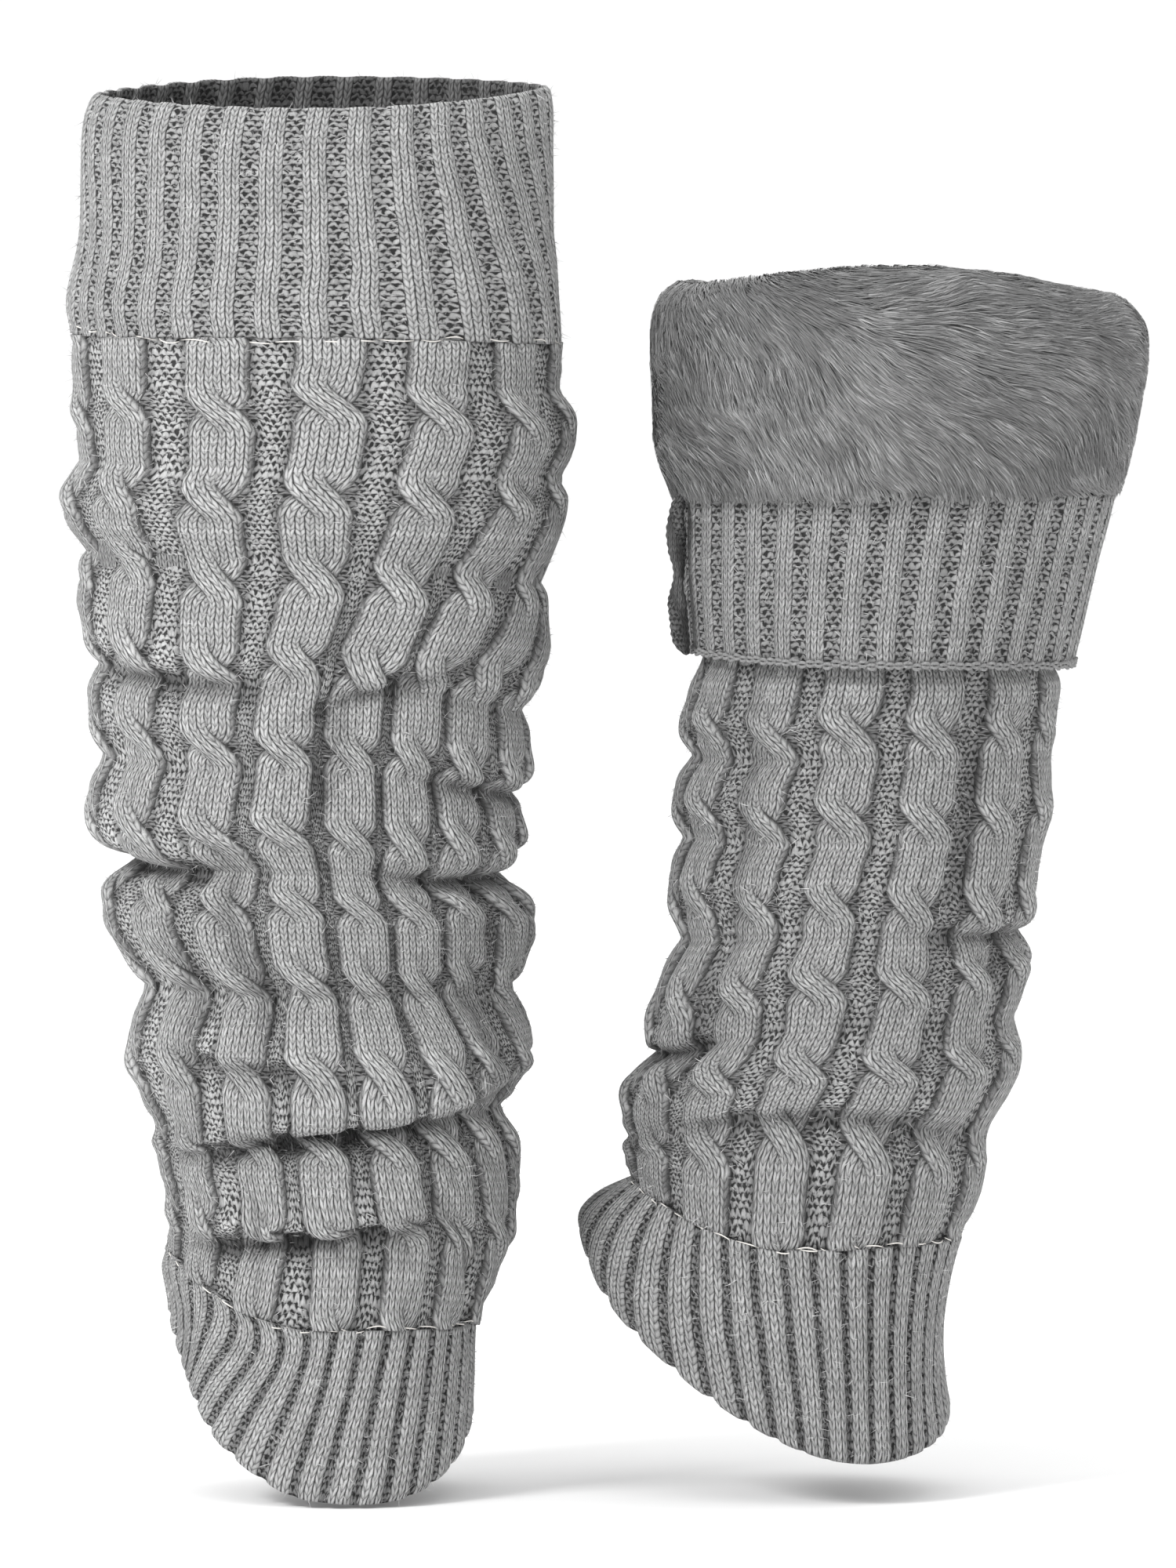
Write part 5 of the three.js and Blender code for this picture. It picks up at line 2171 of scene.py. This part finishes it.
@dataclass
class LegWarmers:
    """The pair: builds every piece and hides the nodes of the solids that it stands for.

    Attributes:
        light: the yarn's colour on top of a stitch of the tall leg warmer.
        short_light: the same for the short one, darker as painted shade.
        dark: its colour between the stitches, where it stands for their shade: painted shade.
        swell: how far the ankle bands swell out, in millimetres.
        ankle_sag: how far the linking thread strays from an ankle seam.
        made: the pieces in the order in which they are made.
    """

    light: tuple = (0.78, 0.78, 0.78)
    # The short leg's yarn is a darker copy of the tall one's: painted shade.
    short_light: tuple = (0.67, 0.67, 0.67)
    dark: tuple = (0.03, 0.03, 0.03)
    swell: float = 1.2
    ankle_sag: tuple = ((-180, 0), (-60, 0.5), (0, 0), (60, -0.6), (180, 0))
    made: list = field(default_factory=list)

    def seat(self, piece: Piece, slot: Slot, *nodes: str) -> Piece:
        """Lets a piece ride on the frame's one body and stand for nodes of the solids.

        Args:
            piece: the piece.
            slot: its material slot; not used.
            nodes: the nodes that it replaces, none for trim.

        Returns:
            The piece.
        """
        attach(piece, "root")
        if nodes:
            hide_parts(*nodes)
        self.made.append(piece)
        return piece

    def finishes(self) -> dict:
        """Makes the materials.

        Returns:
            Each material by its name.
        """
        light, short_light, dark = self.light, self.short_light, self.dark
        kinds = (
            KnitFinish("grey_rib_knit", light, dark),
            KnitFinish("grey_tall_cable_knit", light, dark, purl_wales=5),
            # The short leg's knitting takes the darker copy of the yarn: painted shade.
            KnitFinish("grey_short_rib_knit", short_light, dark),
            KnitFinish("grey_short_cable_knit", short_light, dark, purl_wales=4),
            # The bound edge's yarn is a darker copy of the knitting's yarn: painted shade.
            ThreadFinish("grey_yarn", (0.38, 0.38, 0.38), (0.08, 0.08, 0.08)),
            ThreadFinish("off_white_thread", (0.82, 0.8, 0.76), (0.62, 0.6, 0.57)),
            # The roll's knitting is a darker copy of the yarn: painted shade.
            KnitFinish("shaded_roll_knit", (0.34, 0.34, 0.34), dark, 0.0012),
            # The hairs' and the yarn ends' roots and the undercoat are dark as painted shade down among the
            # fibres.
            FurFinish("grey_fur", (0.07, 0.07, 0.07), (0.155, 0.155, 0.155), (0.36, 0.36, 0.36)),
            UndercoatFinish("grey_undercoat", (0.07, 0.07, 0.07), (0.15, 0.15, 0.15)),
            FurFinish("grey_yarn_ends", (0.3, 0.3, 0.3), (0.5, 0.5, 0.5), (0.75, 0.75, 0.75)),
        )
        return {kind.name: kind.make() for kind in kinds}

    def build(self) -> None:
        """Builds both leg warmers."""
        finishes = self.finishes()
        self.tall(finishes)
        self.short(finishes)

    def tall(self, finishes: dict) -> None:
        """Builds the tall leg warmer.

        Args:
            finishes: each material by its name.
        """
        ribs, thread = finishes["grey_rib_knit"], finishes["off_white_thread"]
        shape = LegShape(TALL_HEM, self.swell, 1.3, TALL_CREASES, TALL_CREEP, len(TALL_RIB), TALL_DRAPES)
        leg = Leg(TALL_RIB + TALL_BODY, shape)
        # dark sets the painted shade in the gutters of each rib band.
        top_band = RibBand("tall_top_rib_knit", leg, 0.0, leg.top_seam, dark=0.78)
        top_band.fine_inside = top_band.free_top = True
        top_band.skew = ((62, 34, 22), (-80, 24, 6))
        top = self.seat(top_band.build(ribs), Slot.KNIT, "tall_top_rib")
        seam = leg.tube_length
        cable_body = CableBody("tall_cable_body_knit", leg, leg.top_seam, seam, 2.5, 0.63, 19, 8, 5)
        cable_body.wander = 0.07
        body = self.seat(cable_body.build(finishes["grey_tall_cable_knit"]), Slot.KNIT, "tall_cable_body")
        ankle_band = RibBand("tall_ankle_rib_knit", leg, seam, leg.length, share=0.74, free_end=True)
        ankle_band.skew = ((-86, 44, 42),)
        ankle_band.sway = ((-34, 30, 8),)
        ankle = self.seat(ankle_band.build(ribs), Slot.KNIT, "tall_ankle_rib")
        top_sag = ((-180, 0), (-70, -2), (-40, 0.5), (-15, 1.5), (20, 0.3), (45, -1), (90, 0), (180, 0))
        upper_line = SeamThread("tall_top_thread", leg, leg.top_seam, SEED + 1, 1.1, 7.5, top_sag)
        upper = self.seat(upper_line.build(thread), Slot.KNIT)
        lower_line = SeamThread("tall_ankle_thread", leg, seam, SEED + 2, 1.0, 9.5, self.ankle_sag)
        lower = self.seat(lower_line.build(thread), Slot.KNIT)
        fuzz = Fuzz("tall_knit_fuzz", SEED + 70, 26000, 0.0, 0.0)
        fuzz = self.seat(fuzz.build([top, body, ankle], finishes["grey_yarn_ends"]), Slot.KNIT)

    def short(self, finishes: dict) -> None:
        """Builds the short leg warmer.

        Args:
            finishes: each material by its name.
        """
        ribs, thread = finishes["grey_short_rib_knit"], finishes["off_white_thread"]
        leg = Leg(SHORT_BODY, LegShape(SHORT_HEM, self.swell, 4.8, SHORT_CREASES, NO_CREEP, 0, SHORT_DRAPES))
        seam = leg.tube_length
        cable_body = CableBody("short_cable_body_knit", leg, 0.0, seam, -8, 0.7, 19.5, 8, 4)
        cable_body.plain_until = float(leg.lengths[CUFF_EDGE_ROW])
        body = self.seat(cable_body.build(finishes["grey_short_cable_knit"]), Slot.KNIT, "short_cable_body")
        # dark sets the painted shade in this band's gutters.
        ankle_band = RibBand("short_ankle_rib_knit", leg, seam, leg.length, 0.76, free_end=True, dark=0.46)
        ankle = self.seat(ankle_band.build(ribs), Slot.KNIT, "short_ankle_rib")
        turned = Tube(TURNED_RIB)
        turned_band = RibBand("short_turned_rib_knit", turned, 0.0, turned.length, 0.54)
        # dark sets the painted shade in the turned rib's gutters.
        turned_band.free_end, turned_band.dark = True, 0.72
        rib = self.seat(turned_band.build(ribs), Slot.KNIT, "short_turned_rib")
        edge_loops = BoundEdge("short_bound_edge", turned, SEED + 40)
        edge = self.seat(edge_loops.build(finishes["grey_yarn"]), Slot.KNIT)
        lower_line = SeamThread("short_ankle_thread", leg, seam, SEED + 4, 1.0, 9.0, self.ankle_sag)
        lower = self.seat(lower_line.build(thread), Slot.KNIT)
        band = FurBand()
        coat = self.seat(band.undercoat(finishes["grey_undercoat"]), Slot.FUR, "short_fur_band")
        strips = (
            PileStrip("short_fur_pile_low", 0.0, 0.27, 45000, (7, 12), 0.18),
            PileStrip("short_fur_pile_high", 0.24, 0.63, 64000, (7, 12), 0.18),
            PileStrip("short_fur_pile_inside", 0.6, 1.0, 15000, (6, 9), 0.34),
        )
        hairs = [self.seat(band.hairs(strip, finishes["grey_fur"]), Slot.FUR) for strip in strips]
        roll = self.seat(SeamRoll().build(finishes["shaded_roll_knit"]), Slot.ROLL, "short_cuff_seam_roll")
        fuzz = Fuzz("short_knit_fuzz", SEED + 71, 18000, 0.153, 0.122)
        fuzz = self.seat(fuzz.build([rib, body, ankle], finishes["grey_yarn_ends"]), Slot.KNIT)


def main() -> None:
    """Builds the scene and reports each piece."""
    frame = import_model()
    LOG.info("frame: %d nodes", len(frame["nodes"]))
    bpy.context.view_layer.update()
    studio = Studio()
    studio.camera()
    studio.floor()
    studio.light()
    studio.look()
    pair = LegWarmers()
    pair.build()
    for piece in pair.made:
        LOG.info("%s: %d triangles", piece.name, len(piece.data.loops) - 2 * len(piece.data.polygons))
    bpy.context.view_layer.update()


if __name__ == "__main__":
    main()
